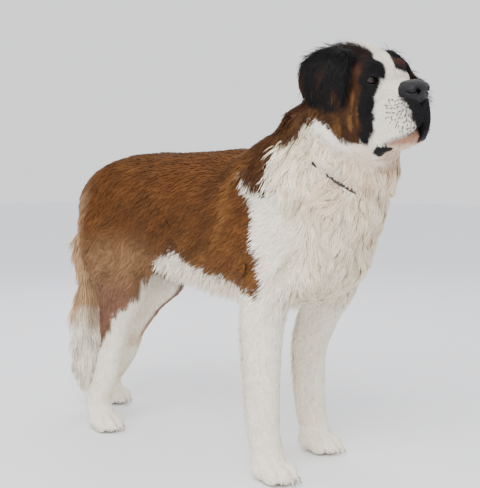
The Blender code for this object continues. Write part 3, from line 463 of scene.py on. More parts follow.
    def chin_tint(self, p: Array) -> Array:
        """Pink at the near wet lip, then pink beige with painted shade in its wrinkles; dark in the middle
        and on the far side.

        Args:
            p: places on the skin.

        Returns:
            One linear colour for each place.
        """
        tone = self.palette
        f, l, u = head_local(p).T
        tint = repeated(tone.chin, len(p))
        tint = mixed(tint, tone.peach, 0.8 * ease(-0.140, -0.155, u))
        # Painted shade: darker crease lines over the chin's skin
        wrinkle_shade = ease(0.3, 1.0, ripple(p * (2.2, 2.2, 0.6), 0.012, 28))
        tint = mixed(tint, self.crease_tint, 0.55 * wrinkle_shade)
        lip = gaussian(distance_to(self.lip_edge, np.stack([f, np.abs(l) + 0.003, u + 0.0055], 1)) / 0.0034)
        tint = mixed(tint, tone.lip_pink, lip)
        dark = np.maximum(ease(0.002, 0.014, l), ease(0.066, 0.074, f + 0.002 * ripple(p, 0.008, 37)))
        return mixed(tint, tone.leather, dark * ease(-0.152, -0.142, u))

    def jaw(self, p: Array) -> Array:
        """Colours of the lower jaw: pink at its lip and pink beige with painted wrinkle shade over the chin.

        Args:
            p: places on the jaw's skin.

        Returns:
            One linear colour for each place.
        """
        f, _, u = head_local(p).T
        inner = ease(-0.116, -0.104, u) * ease(0.072, 0.064, f)
        tint = mixed(self.chin_tint(p), self.palette.lip_pink, 0.8 * inner)
        return tint * (1 + 0.10 * ripple(p, 0.008, 35))[:, None]

    def ears(self, p: Array) -> Array:
        """Colours of the ear flaps: black, with brown glints and a brown rear edge.

        Args:
            p: places on the ears' skin.

        Returns:
            One linear colour for each place.
        """
        tone = self.palette
        f, _, u = head_local(p).T
        coat = repeated(tone.black, len(p))
        glint = ease(0.3, 1.0, ripple(p * (1.6, 1.0, 0.6), 0.026, 31))
        coat = mixed(coat, tone.face_brown, 0.55 * glint * ease(0.06, 0.0, u))
        coat = mixed(coat, tone.face_brown, 0.85 * ease(-0.108, -0.132, f) * ease(0.06, 0.0, u))
        gold = 0.30 * ease(0.6, 1.1, ripple(p, 0.014, 32))
        return mixed(coat, tone.face_gold, gold * ease(0.01, -0.03, u))


@dataclass(frozen=True)
class PlainFinish:
    """A finish of one named colour with fine grain, such as horn, leather or an eye."""

    name: str
    colour: Colour
    roughness: float
    variation: float = 0.15
    grain: float = 300.0
    bump: float = 0.1
    coat: float = 0.0
    coat_roughness: float = 0.08

    def material(self, tools: "Shaders") -> Material:
        """Makes the material."""
        return tools.plain(self)


class Shaders:
    """Builds the shared grain group and the materials that use it."""

    bump_distance: float = 0.001

    def __init__(self) -> None:
        """Makes the node group once."""
        self.grain = self.grain_group()

    @staticmethod
    def grain_group() -> bpy.types.ShaderNodeTree:
        """A group that varies a colour with fine noise and gives the same noise as a height.

        Returns:
            The node group, with Colour and Height outputs.
        """
        group = bpy.data.node_groups.new("fine_grain", "ShaderNodeTree")
        sockets = (("Colour", "INPUT", "NodeSocketColor"), ("Scale", "INPUT", "NodeSocketFloat"),
                   ("Variation", "INPUT", "NodeSocketFloat"), ("Colour", "OUTPUT", "NodeSocketColor"),
                   ("Height", "OUTPUT", "NodeSocketFloat"))
        for name, way, kind in sockets:
            group.interface.new_socket(name=name, in_out=way, socket_type=kind)
        nodes, links = group.nodes, group.links
        start, end = nodes.new("NodeGroupInput"), nodes.new("NodeGroupOutput")
        place = nodes.new("ShaderNodeTexCoord")
        noise = nodes.new("ShaderNodeTexNoise")
        noise.inputs["Detail"].default_value = 3.0
        links.new(place.outputs["Object"], noise.inputs["Vector"])
        links.new(start.outputs["Scale"], noise.inputs["Scale"])
        spread = nodes.new("ShaderNodeMapRange")
        for name, value in (("From Min", 0.3), ("From Max", 0.7), ("To Min", -1.0), ("To Max", 1.0)):
            spread.inputs[name].default_value = value
        links.new(noise.outputs["Fac"], spread.inputs["Value"])
        amount = nodes.new("ShaderNodeMath")
        amount.operation = "MULTIPLY_ADD"
        amount.inputs[2].default_value = 1.0
        links.new(spread.outputs["Result"], amount.inputs[0])
        links.new(start.outputs["Variation"], amount.inputs[1])
        tint = nodes.new("ShaderNodeVectorMath")
        tint.operation = "SCALE"
        links.new(start.outputs["Colour"], tint.inputs[0])
        links.new(amount.outputs[0], tint.inputs["Scale"])
        links.new(tint.outputs[0], end.inputs["Colour"])
        links.new(noise.outputs["Fac"], end.inputs["Height"])
        return group

    def grained(self, finish: "PlainFinish | MarkedFinish") -> tuple:
        """A material with the grain group and a bump on its shader.

        Args:
            finish: its name, roughness, variation, grain and bump.

        Returns:
            The material, its shader node and its grain node.
        """
        material = bpy.data.materials.new(finish.name)
        material.use_nodes = True
        tree = material.node_tree
        shader = tree.nodes["Principled BSDF"]
        shader.inputs["Roughness"].default_value = finish.roughness
        grains = tree.nodes.new("ShaderNodeGroup")
        grains.node_tree = self.grain
        grains.inputs["Scale"].default_value = finish.grain
        grains.inputs["Variation"].default_value = finish.variation
        tree.links.new(grains.outputs["Colour"], shader.inputs["Base Color"])
        raised = tree.nodes.new("ShaderNodeBump")
        raised.inputs["Strength"].default_value = finish.bump
        raised.inputs["Distance"].default_value = self.bump_distance
        tree.links.new(grains.outputs["Height"], raised.inputs["Height"])
        tree.links.new(raised.outputs["Normal"], shader.inputs["Normal"])
        return material, shader, grains

    def marked(self, finish: "MarkedFinish") -> Material:
        """A material coloured by the marking attribute.

        Args:
            finish: its values.

        Returns:
            The material.
        """
        material, shader, grains = self.grained(finish)
        shader.inputs["Specular IOR Level"].default_value = finish.gloss
        marking = material.node_tree.nodes.new("ShaderNodeAttribute")
        marking.attribute_name = "marking"
        material.node_tree.links.new(marking.outputs["Color"], grains.inputs["Colour"])
        return material

    def plain(self, finish: PlainFinish) -> Material:
        """A material of one named colour.

        Args:
            finish: its values.

        Returns:
            The material.
        """
        material, shader, grains = self.grained(finish)
        grains.inputs["Colour"].default_value = (*finish.colour, 1)
        shader.inputs["Coat Weight"].default_value = finish.coat
        shader.inputs["Coat Roughness"].default_value = finish.coat_roughness
        return material


@dataclass(frozen=True)
class MarkedFinish:
    """A finish that takes its colour from the piece's marking attribute."""

    name: str
    roughness: float
    variation: float = 0.1
    grain: float = 300.0
    bump: float = 0.1
    coat: float = 0.0
    coat_roughness: float = 0.05
    gloss: float = 0.3

    def material(self, tools: Shaders) -> Material:
        """Makes the material, with a thin wet coat where it has one.

        Args:
            tools: builds the material.

        Returns:
            The material.
        """
        material = tools.marked(self)
        shader = material.node_tree.nodes["Principled BSDF"]
        shader.inputs["Coat Weight"].default_value = self.coat
        shader.inputs["Coat Roughness"].default_value = self.coat_roughness
        return material

    def with_bare(self, tools: Shaders, bare_roughness: float) -> Material:
        """Makes the material, smoother where the skin is bare.

        Args:
            tools: builds the material.
            bare_roughness: the roughness of bare skin.

        Returns:
            The material.
        """
        material = self.material(tools)
        tree = material.node_tree
        bare = tree.nodes.new("ShaderNodeAttribute")
        bare.attribute_name = "bare"
        spread = tree.nodes.new("ShaderNodeMapRange")
        spread.inputs["To Min"].default_value = self.roughness
        spread.inputs["To Max"].default_value = bare_roughness
        tree.links.new(bare.outputs["Fac"], spread.inputs["Value"])
        tree.links.new(spread.outputs["Result"], tree.nodes["Principled BSDF"].inputs["Roughness"])
        return material


SKIN_FINISH = MarkedFinish("short_fur_skin", 0.75, variation=0.16, grain=420.0, bump=0.6, gloss=0.12)
COAT_FINISH = MarkedFinish("coat_hair", 0.60, variation=0.10, grain=260.0, bump=0.0, gloss=0.12)
HORN = PlainFinish("claw_horn", (0.20, 0.15, 0.115), 0.42, variation=0.25, grain=160.0, bump=0.15)
COLLAR_LEATHER = PlainFinish("collar_leather", (0.018, 0.017, 0.018), 0.45, grain=500.0, bump=0.3)
NOSE_LEATHER = MarkedFinish("nose_leather", 0.48, variation=0.25, grain=750.0, bump=0.9, coat=0.06,
                            coat_roughness=0.28, gloss=0.2)
EYE_FINISH = MarkedFinish("wet_eye", 0.25, variation=0.12, grain=900.0, bump=0.0, coat=0.7,
                          coat_roughness=0.03, gloss=0.1)
LID_FINISH = MarkedFinish("lid_skin", 0.45, variation=0.15, grain=600.0, bump=0.3, coat=0.15,
                          coat_roughness=0.25)


def only_deselected() -> None:
    """Deselects everything before a primitive is added."""
    for obj in list(bpy.context.selected_objects):
        obj.select_set(False)


def only_selected(*objects: Object) -> None:
    """Selects just these objects, the first one active."""
    only_deselected()
    for obj in objects:
        obj.select_set(True)
    bpy.context.view_layer.objects.active = objects[0]


def merged_copy(node: Object, swell: float = 0.0006) -> Object:
    """A copy of a node with its loose triangles joined up.

    Args:
        node: the CAD node, which isn't changed.
        swell: how far the copy is swollen, so that it overlaps its neighbours.

    Returns:
        The linked copy.
    """
    mesh = node.data.copy()
    bm = bmesh.new()
    bm.from_mesh(mesh)
    bmesh.ops.remove_doubles(bm, verts=bm.verts, dist=1e-6)
    bm.normal_update()
    for vert, normal in [(v, v.normal.copy()) for v in bm.verts]:
        vert.co += normal * swell
    bm.to_mesh(mesh)
    bm.free()
    mesh.materials.clear()
    obj = bpy.data.objects.new(node.name + "_flesh", mesh)
    bpy.context.scene.collection.objects.link(obj)
    return obj


def modified(obj: Object, kind: str, **values) -> None:
    """Adds a modifier with these values and applies it.

    Args:
        obj: the object.
        kind: the modifier's type.
        values: its settings.
    """
    only_selected(obj)
    modifier = obj.modifiers.new(kind.lower(), kind)
    for name, value in values.items():
        setattr(modifier, name, value)
    bpy.ops.object.modifier_apply(modifier=modifier.name)


def remeshed(name: str, nodes: Sequence[Object], voxel: float, passes: int) -> Object:
    """One closed, smoothed surface round copies of the nodes.

    Args:
        name: the surface's name.
        nodes: the nodes to go round.
        voxel: the remesh voxel.
        passes: how often it is smoothed.

    Returns:
        The new object.
    """
    copies = [merged_copy(node) for node in nodes]
    only_selected(*copies)
    bpy.ops.object.join()
    obj = bpy.context.view_layer.objects.active
    obj.name = name
    obj.data.name = name
    modified(obj, "REMESH", mode="VOXEL", voxel_size=voxel)
    modified(obj, "SMOOTH", factor=0.5, iterations=passes)
    return obj


def without_islands(obj: Object) -> None:
    """Deletes every loose island of a mesh but its largest.

    Args:
        obj: the mesh object.
    """
    mesh = bmesh.new()
    mesh.from_mesh(obj.data)
    islands, seen = [], set()
    for start in mesh.verts:
        if start in seen:
            continue
        seen.add(start)
        island = [start]
        for vert in island:
            fresh = [v for v in (edge.other_vert(vert) for edge in vert.link_edges) if v not in seen]
            seen.update(fresh)
            island += fresh
        islands.append(island)
    islands.sort(key=len)
    bmesh.ops.delete(mesh, geom=[vert for island in islands[:-1] for vert in island], context="VERTS")
    mesh.to_mesh(obj.data)
    mesh.free()


def softened(obj: Object, chosen: Array, passes: int) -> None:
    """Smooths only the chosen vertices, over a number of passes.

    Args:
        obj: the mesh object.
        chosen: for each vertex, whether it is smoothed.
        passes: how often.
    """
    group = obj.vertex_groups.new(name="soft")
    group.add(np.flatnonzero(chosen).tolist(), 1.0, "REPLACE")
    modified(obj, "SMOOTH", factor=0.5, iterations=passes, vertex_group="soft")
    obj.vertex_groups.clear()


def grid_cells(places: Array, size: Array) -> Array:
    """Whole numbers that are the same for places in one cell of space, by the cell size wanted at each."""
    level = np.round(np.log2(size / SMALLEST_CELL) * 2).astype(int)
    cell = SMALLEST_CELL * 2 ** (level / 2)
    return np.concatenate([np.floor(places / cell[:, None]).astype(int), level[:, None]], 1)


def point_tree(places: Sequence) -> KDTree:
    """A search tree of places."""
    tree = KDTree(len(places))
    for i, place in enumerate(places):
        tree.insert(place, i)
    tree.balance()
    return tree


def evenly(gap: float) -> Callable:
    """A spacing rule that is the same everywhere."""
    return lambda p, n: np.full(len(p), gap)


@dataclass
class Roots:
    """Places picked on a surface, with what is needed to read its values there."""

    places: Array
    normals: Array
    corners: Array
    weights: Array

    def read(self, values: Array) -> Array:
        """A value held for each vertex of the surface, at the picked places."""
        return (values[self.corners] * self.weights).sum(1)

    def part(self, chosen: Array) -> "Roots":
        """The roots that a mask picks."""
        return Roots(self.places[chosen], self.normals[chosen], self.corners[chosen], self.weights[chosen])


@dataclass
class Surface:
    """A mesh as arrays: places, normals and triangles."""

    obj: Object
    places: Array = field(init=False)
    normals: Array = field(init=False)
    triangles: Array = field(init=False)

    def __post_init__(self) -> None:
        """Reads the mesh."""
        self.read()

    def read(self) -> None:
        """Reads places, normals and triangles from the mesh."""
        mesh = self.obj.data
        self.places = self.rows(mesh.vertices, "co")
        self.normals = self.rows(mesh.vertex_normals, "vector")
        mesh.calc_loop_triangles()
        self.triangles = self.rows(mesh.loop_triangles, "vertices", int)

    @staticmethod
    def rows(source: bpy.types.bpy_prop_collection, name: str, kind: type = float) -> Array:
        """One three-part value of every item in a mesh's collection, a row each."""
        values = np.empty(len(source) * 3, kind)
        source.foreach_get(name, values)
        return values.reshape(-1, 3)

    def write(self) -> None:
        """Puts changed places back into the mesh, and reads the new normals."""
        self.obj.data.vertices.foreach_set("co", self.places.ravel())
        self.obj.data.update()
        self.read()

    def push(self, amount: Array) -> None:
        """Moves each vertex along its normal by its own amount."""
        self.places += self.normals * amount[:, None]
        self.write()

    def tree(self) -> BVHTree:
        """A search tree of the surface."""
        return BVHTree.FromPolygons(self.places.tolist(), self.triangles.tolist())

    def paint(self, colours: Array, bare: Array) -> None:
        """Stores each vertex's colour and how bare and leathery it is."""
        store_colours(self.obj.data, colours)
        layer = self.obj.data.attributes.new("bare", "FLOAT", "POINT")
        layer.data.foreach_set("value", bare.astype(np.float32))

    def scatter(self, spacing: Callable, keep: Array, seed: int) -> Roots:
        """Roots spread evenly over the triangles.

        Args:
            spacing: gives the distance between roots from places and normals.
            keep: for each vertex, whether roots may stand there.
            seed: picks the draw.

        Returns:
            The roots.
        """
        rng = np.random.default_rng(seed)
        corners = self.places[self.triangles]
        across = np.cross(corners[:, 1] - corners[:, 0], corners[:, 2] - corners[:, 0])
        areas = np.linalg.norm(across, axis=1) / 2
        gaps = spacing(corners.mean(1), unit(self.normals[self.triangles].sum(1)))
        areas = areas * keep[self.triangles].all(1)
        chosen = np.repeat(np.arange(len(areas)), rng.poisson(DRAWS_PER_CELL * areas / gaps**2))
        a, b = rng.random((2, len(chosen)))
        flip = a + b > 1
        a[flip], b[flip] = 1 - a[flip], 1 - b[flip]
        weights = np.stack([1 - a - b, a, b], 1)
        places = (corners[chosen] * weights[:, :, None]).sum(1)
        normals = unit((self.normals[self.triangles[chosen]] * weights[:, :, None]).sum(1))
        _, first = np.unique(grid_cells(places, gaps[chosen]), axis=0, return_index=True)
        first.sort()
        return Roots(places[first], normals[first], self.triangles[chosen[first]], weights[first])


def store_colours(mesh: Mesh, colours: Array) -> None:
    """Stores one linear colour for each vertex as the marking attribute.

    Args:
        mesh: the mesh.
        colours: one row for each vertex.
    """
    layer = mesh.color_attributes.new("marking", "FLOAT_COLOR", "POINT")
    rows = np.ones((len(mesh.vertices), 4), np.float32)
    rows[:, :3] = np.clip(colours, DARKEST, 1.0)
    layer.data.foreach_set("color", rows.ravel())


def mesh_from_arrays(name: str, places: Array, triangles: Array) -> Object:
    """A linked, smooth-shaded object made straight from arrays.

    Args:
        name: the object's name.
        places: vertices, one row each.
        triangles: three vertex numbers to a row.

    Returns:
        The object.
    """
    mesh = bpy.data.meshes.new(name)
    mesh.vertices.add(len(places))
    mesh.vertices.foreach_set("co", places.astype(np.float32).ravel())
    mesh.loops.add(triangles.size)
    mesh.loops.foreach_set("vertex_index", triangles.astype(np.int32).ravel())
    mesh.polygons.add(len(triangles))
    mesh.polygons.foreach_set("loop_start", np.arange(0, triangles.size, 3, dtype=np.int32))
    mesh.update(calc_edges=True)
    mesh.polygons.foreach_set("use_smooth", np.ones(len(triangles), bool))
    obj = bpy.data.objects.new(name, mesh)
    bpy.context.scene.collection.objects.link(obj)
    return obj


def seated_piece(obj: Object, material: Material, slot: str, *nodes: str) -> None:
    """Dresses a finished piece, rides it on the body, and hides the nodes it stands for.

    Args:
        obj: the piece.
        material: its finish.
        slot: not used.
        nodes: the CAD nodes that it replaces.
    """
    obj.data.materials.clear()
    obj.data.materials.append(material)
    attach(obj, "root")
    if nodes:
        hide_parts(*nodes)
    LOG.info("%s: %d faces", obj.name, len(obj.data.polygons))


def smoothed_piece(obj: Object, material: Material, slot: str, *nodes: str) -> None:
    """Seats a piece like seated_piece, smooth-shaded."""
    only_selected(obj)
    bpy.ops.object.shade_smooth()
    seated_piece(obj, material, slot, *nodes)


def past_wall(p: Array) -> Array:
    """How far each place lies on the head's side of the head's parting plane."""
    point, normal = (np.array(v) for v in HEAD_WALL)
    return (p - point) @ normal


@dataclass(frozen=True)
class Fold:
    """A ridge or groove along a path of the face, the same on both sides."""

    path: tuple
    width: float
    height: float

    def lift(self, folded: Array) -> Array:
        """How far it raises each place."""
        return self.height * gaussian(distance_to(self.path, folded) / self.width)


# The pouch under the eye, two folds of the cheek, and the crease beside the nose
FACE_FOLDS = (
    Fold(((0.012, 0.056, -0.018), (0.000, 0.070, -0.020), (-0.010, 0.082, -0.014)), 0.0035, -0.0016),
    Fold(((-0.022, 0.094, -0.012), (-0.014, 0.102, -0.055), (-0.002, 0.098, -0.105), (0.000, 0.088, -0.140)),
         0.0045, -0.0024),
    Fold(((-0.050, 0.108, -0.060), (-0.038, 0.118, -0.095), (-0.020, 0.112, -0.130)), 0.0045, -0.0016),
    Fold(((0.056, 0.036, -0.040), (0.040, 0.050, -0.052), (0.020, 0.064, -0.062)), 0.0045, -0.0010),
)


@dataclass
class Skin:
    """One skin for the body, the paws, the head and the jaw, inside the coat's depth."""

    nodes: dict
    markings: Markings
    body_voxel: float = 0.0068
    paw_voxel: float = 0.0026
    head_voxel: float = 0.0024
    jaw_voxel: float = 0.0022
    body_kept: float = 0.42
    paw_kept: float = 0.50
    head_kept: float = 0.64
    jaw_kept: float = 0.8
    ear_reach: float = 0.02
    ruff_back: tuple = ((0.38, 0.300), (0.422, 0.318), (0.452, 0.330), (0.503, 0.362), (0.56, 0.385),
                        (0.62, 0.395), (0.672, 0.375), (0.690, 0.335), (0.72, 0.325), (0.80, 0.330))
    body: Surface = field(init=False)
    paws: list = field(init=False)
    head: Surface = field(init=False)
    jaw: Surface = field(init=False)
    ear: Array = field(init=False)

    def build(self, material: Material) -> None:
        """Makes all four stretches of skin, paints them and joins them into one.

        Args:
            material: the skin's finish.
        """
        self.build_body()
        self.paws = [self.build_paw(name) for name in PAW_NODES]
        self.build_head()
        self.build_jaw()
        marks, body, jaw = self.markings, self.body, self.jaw
        body.paint(self.body_colours(body.places, body.normals), np.zeros(len(body.places)))
        for paw in self.paws:
            paw.paint(marks.body(paw.places, paw.normals), np.zeros(len(paw.places)))
        self.head.paint(self.head_colours(self.head.places, self.ear), self.head_bare())
        jaw.paint(marks.jaw(jaw.places), ease(-0.128, -0.112, head_local(jaw.places)[:, 2]))
        self.join(material)

    def join(self, material: Material) -> None:
        """Thins each stretch of skin, joins all into one object and seats it.

        Args:
            material: the skin's finish.
        """
        stretches = [(self.head, self.head_kept), (self.body, self.body_kept), (self.jaw, self.jaw_kept)]
        stretches += [(paw, self.paw_kept) for paw in self.paws]
        for stretch, kept in stretches:
            modified(stretch.obj, "DECIMATE", ratio=kept)
        only_selected(*(stretch.obj for stretch, _ in stretches))
        bpy.ops.object.join()
        skin = bpy.context.view_layer.objects.active
        skin.name = skin.data.name = "skin"
        smoothed_piece(skin, material, "coat_white", *BODY_NODES, *PAW_NODES, *HEAD_NODES, "jaw")

    def ruff(self, p: Array) -> Array:
        """From 0 to 1 where the long wavy coat of the neck and chest grows."""
        behind = p[:, 0] - table_line(self.ruff_back, p[:, 2])
        return ease(-0.022, 0.012, behind) * ease(0.375, 0.445, p[:, 2])

    def build_body(self) -> None:
        """The body's skin, drawn in by the coat's depth, with waves under the ruff and folds on the flank."""
        names = BODY_NODES + PAW_NODES + ("head", "jaw")
        self.body = Surface(remeshed("skin_body", [self.nodes[n] for n in names], self.body_voxel, 20))
        without_islands(self.body.obj)
        self.body.read()
        self.soften_body()
        p = self.body.places
        x, _, z = p.T
        waves = ripple(p * (1.0, 1.0, 0.7), 0.050, 51) * 0.0030 + ripple(p, 0.024, 52) * 0.0016
        fold = gaussian((x - table_line(self.markings.flank_fold, z)) / 0.009) * ease(0.50, 0.54, z)
        fold *= ease(0.69, 0.65, z)
        loin = ease(-0.06, -0.13, x) * ease(0.62, 0.54, z) * ease(0.40, 0.46, z)
        rolls = ripple(p * (1.3, 0.6, 1.0), 0.030, 53) * 0.0018
        self.body.push(waves * self.ruff(p) - self.body_depth(p) - 0.0035 * fold + rolls * loin)
        self.body.places[:, 2] = np.maximum(self.body.places[:, 2], 0.004)
        self.body.write()

    def soften_body(self) -> None:
        """Smooths away the solids' carved locks, and the joints at the belly, the neck and the elbow."""
        x, _, z = self.body.places.T
        locks = (x > 0.20) & (z > 0.41) | (x < -0.30) & (z > 0.30) & (x > -0.46)
        belly = (z > 0.39) & (z < 0.50)
        neck = (x > 0.29) & (z > 0.68)
        elbow = (x > -0.10) & (x < 0.32) & (z > 0.40) & (z < 0.62)
        for chosen, passes in ((locks | belly, 70), (neck, 120), (elbow, 80)):
            softened(self.body.obj, chosen, passes)
        self.body.read()

    def body_depth(self, p: Array) -> Array:
        """How deep under the coat the body's skin lies.

        Args:
            p: places on the body.

        Returns:
            One depth for each place, less on the legs and under the ruff, more where a paw or the head joins.
        """
        z = p[:, 2]
        depth = 0.0062 - 0.0025 * ease(0.42, 0.36, z) - 0.0005 * ease(0.14, 0.10, z)
        depth += (0.0010 - depth) * self.ruff(p)
        depth += (0.0028 - depth) * ease(0.12, 0.080, z)
        depth += 0.015 * ease(0.0, 0.03, past_wall(p)) + 0.008 * ease(0.066, 0.056, z)
        return depth

    def build_paw(self, name: str) -> Surface:
        """One paw's finer skin, whose top runs up inside the leg's skin.

        Args:
            name: the paw's node.

        Returns:
            The paw's skin.
        """
        paw = Surface(remeshed("skin_" + name, [self.nodes[name]], self.paw_voxel, 3))
        z = paw.places[:, 2]
        paw.push(-0.0012 - 0.0016 * ease(0.040, 0.060, z) - 0.009 * ease(0.064, 0.080, z))
        paw.places[:, 2] = np.maximum(paw.places[:, 2], 0.0004)
        paw.write()
        return paw

    def build_head(self) -> None:
        """The head's skin with its ears: drawn in, folded, and fitted over the neck's skin."""
        fills = [self.ear_root("right", -1, 0.0), self.ear_root("left", 1, 0.026)]
        flesh = [self.nodes[n] for n in HEAD_NODES + ("neck",)] + fills
        self.head = Surface(remeshed("skin_head", flesh, self.head_voxel, 5))
        for fill in fills:
            bpy.data.objects.remove(fill, do_unlink=True)
        self.trim_head()
        self.ear = self.ear_share()
        f = head_local(self.head.places)[:, 0]
        self.head.push(-0.0012 - 0.0040 * ease(0.0, -0.05, f) * (1 - self.ear) - 0.0012 * self.ear)
        self.fold_face()
        self.fit_head()

    @staticmethod
    def ear_root(word: str, side: int, shift: float) -> Object:
        """A lump that fills the notch between the skull and an ear's root.

        Args:
            word: left or right.
            side: 1 for left, -1 for right.
            shift: how far it is moved forwards and down.

        Returns:
            The lump.
        """
        only_deselected()
        middle = HEAD_AXES @ Vector((-0.072 + shift, side * 0.092, 0.020 - shift))
        bpy.ops.mesh.primitive_uv_sphere_add(segments=24, ring_count=12, radius=1, location=middle,
                                             rotation=HEAD_AXES.to_euler(), scale=(0.032, 0.022, 0.034))
        fill = bpy.context.active_object
        fill.name = "ear_root_" + word
        bpy.ops.object.transform_apply()
        return fill

    def trim_head(self) -> None:
        """Cuts away the neck that came with the head, and closes the cut."""
        point, normal = HEAD_WALL
        bm = bmesh.new()
        bm.from_mesh(self.head.obj.data)
        cut = bmesh.ops.bisect_plane(bm, geom=bm.verts[:] + bm.edges[:] + bm.faces[:],
                                     plane_co=point - normal * 0.05, plane_no=normal, clear_inner=True)
        rim = [e for e in cut["geom_cut"] if isinstance(e, bmesh.types.BMEdge)]
        bmesh.ops.holes_fill(bm, edges=rim, sides=0)
        bm.to_mesh(self.head.obj.data)
        bm.free()
        self.head.read()

    def ear_share(self) -> Array:
        """From 0 on the head to 1 on an ear flap, by which node is nearer.

        Returns:
            One value for each of the head's vertices.
        """
        gaps = []
        for names in (("ear_left", "ear_right"), ("head", "neck")):
            trees = []
            for name in names:
                copy = merged_copy(self.nodes[name], 0.0)
                trees.append(Surface(copy).tree())
                bpy.data.objects.remove(copy, do_unlink=True)
            rows = [min(tree.find_nearest(place, self.ear_reach)[3] or self.ear_reach for tree in trees)
                    for place in map(Vector, self.head.places)]
            gaps.append(np.array(rows))
        return ease(0.0025, -0.0025, gaps[0] - gaps[1])

    def fold_face(self) -> None:
        """Brows, furrow, folds and the nose's rim; the chin drawn in, and the far flew hanging lower."""
        f, l, u = head_local(self.head.places).T
        a = np.abs(l)
        folded = np.stack([f, a, u], 1)
        brow = gaussian((f + 0.004) / 0.012, (a - 0.048) / 0.015, (u - 0.021) / 0.007)
        stop = gaussian(l / 0.005) * ease(-0.002, 0.014, u) * ease(-0.075, -0.045, f)
        groove = gaussian(l / 0.0016) * ease(0.066, 0.074, f) * ease(-0.050, -0.060, u)
        from_nose = np.linalg.norm(folded - (0.050, 0.012, -0.030), axis=1) - 0.012
        nose_rim = gaussian((f - 0.050) / 0.010) * ease(0.022, 0.008, from_nose)
        inner = self.markings.chin(self.head.places)
        lift = 0.0030 * brow - 0.0026 * stop - 0.0022 * groove + 0.0018 * nose_rim
        for fold in (*FACE_FOLDS, Fold(self.markings.lip_edge, 0.0030, 0.0014)):
            lift += fold.lift(folded)
        self.head.push((1 - self.ear) * lift)
        self.head.places -= np.outer(np.sign(l) * 0.007 * inner, HEAD_TURNED[:, 1])
        sag = ease(0.006, 0.018, l) * ease(0.030, 0.060, f) * ease(-0.085, -0.125, u)
        self.head.places -= np.outer(sag, 0.018 * HEAD_TURNED[:, 2] + 0.005 * HEAD_TURNED[:, 0])
        self.head.write()

    def fit_head(self) -> None:
        """Runs the head's rear edge down under the body's skin."""
        places = self.head.places
        tree = self.body.tree()
        past = past_wall(places)
        share, sink = ease(0.014, -0.016, past), 0.008 * ease(-0.006, -0.030, past)
        for i in np.flatnonzero((past < 0.014) & (self.ear < 0.5)):
            hit, normal, _, _ = tree.find_nearest(Vector(places[i]))
            places[i] += (np.array(hit - normal * float(sink[i])) - places[i]) * share[i]
        self.head.write()

    def build_jaw(self) -> None:
        """The lower jaw's skin, a little inside its solid."""
        self.jaw = Surface(remeshed("skin_jaw", [self.nodes["jaw"]], self.jaw_voxel, 4))
        ridges = 0.0017 * ripple(self.jaw.places * (1.6, 1.6, 0.5), 0.009, 55)
        self.jaw.push(ridges - 0.0006)

    def head_bare(self) -> Array:
        """How bare the head's skin is: the lip's lobe, the chin and round the eyes.

        Returns:
            One value for each of the head's vertices.
        """
        f, l, u = head_local(self.head.places).T
        eye = np.linalg.norm(np.stack([f - 0.006, np.abs(l) - 0.062, u + 0.003], 1), axis=1)
        rim = ease(0.0140, 0.0115, eye)
        lobe = self.markings.leather(self.head.places) * ease(0.050, 0.040, f)
        return np.maximum(np.maximum(lobe, self.markings.chin(self.head.places)), rim)

    def head_colours(self, p: Array, ear: Array) -> Array:
        """The head's colours, with the ears' where an ear is."""
        tint = self.markings.head(p)
        return tint + (self.markings.ears(p) - tint) * ear[:, None]

    def body_colours(self, p: Array, n: Array) -> Array:
        """The body's colours, running into the head's at the parting plane."""
        tint = self.markings.body(p, n)
        return tint + (self.markings.head(p) - tint) * ease(-0.022, 0.0, past_wall(p))[:, None]


@dataclass
class Tufts:
    """A batch of tufts: where each grows, which way, how large, and how it gathers into a lock."""

    roots: Array
    normals: Array
    lie: Array
    length: Array
    height: Array
    width: Array
    colours: Array
    wave: Array
    phase: Array
    cling: Array
    gather: Array
    anchor: Array

    def part(self, chosen: Array) -> "Tufts":
        """The tufts that a mask picks."""
        return Tufts(*(getattr(self, name)[chosen] for name in self.__dataclass_fields__))


class TuftShape(Enum):
    """How finely a tuft is made: the shares of its length where it has a ring, and its breadth there."""

    SHORT = ((0.0, 0.55), (0.9, 0.8))
    MIDDLE = ((0.0, 0.42, 0.78), (0.80, 1.00, 0.62))
    LONG = ((0.0, 0.30, 0.58, 0.82), (0.80, 1.00, 0.85, 0.55))


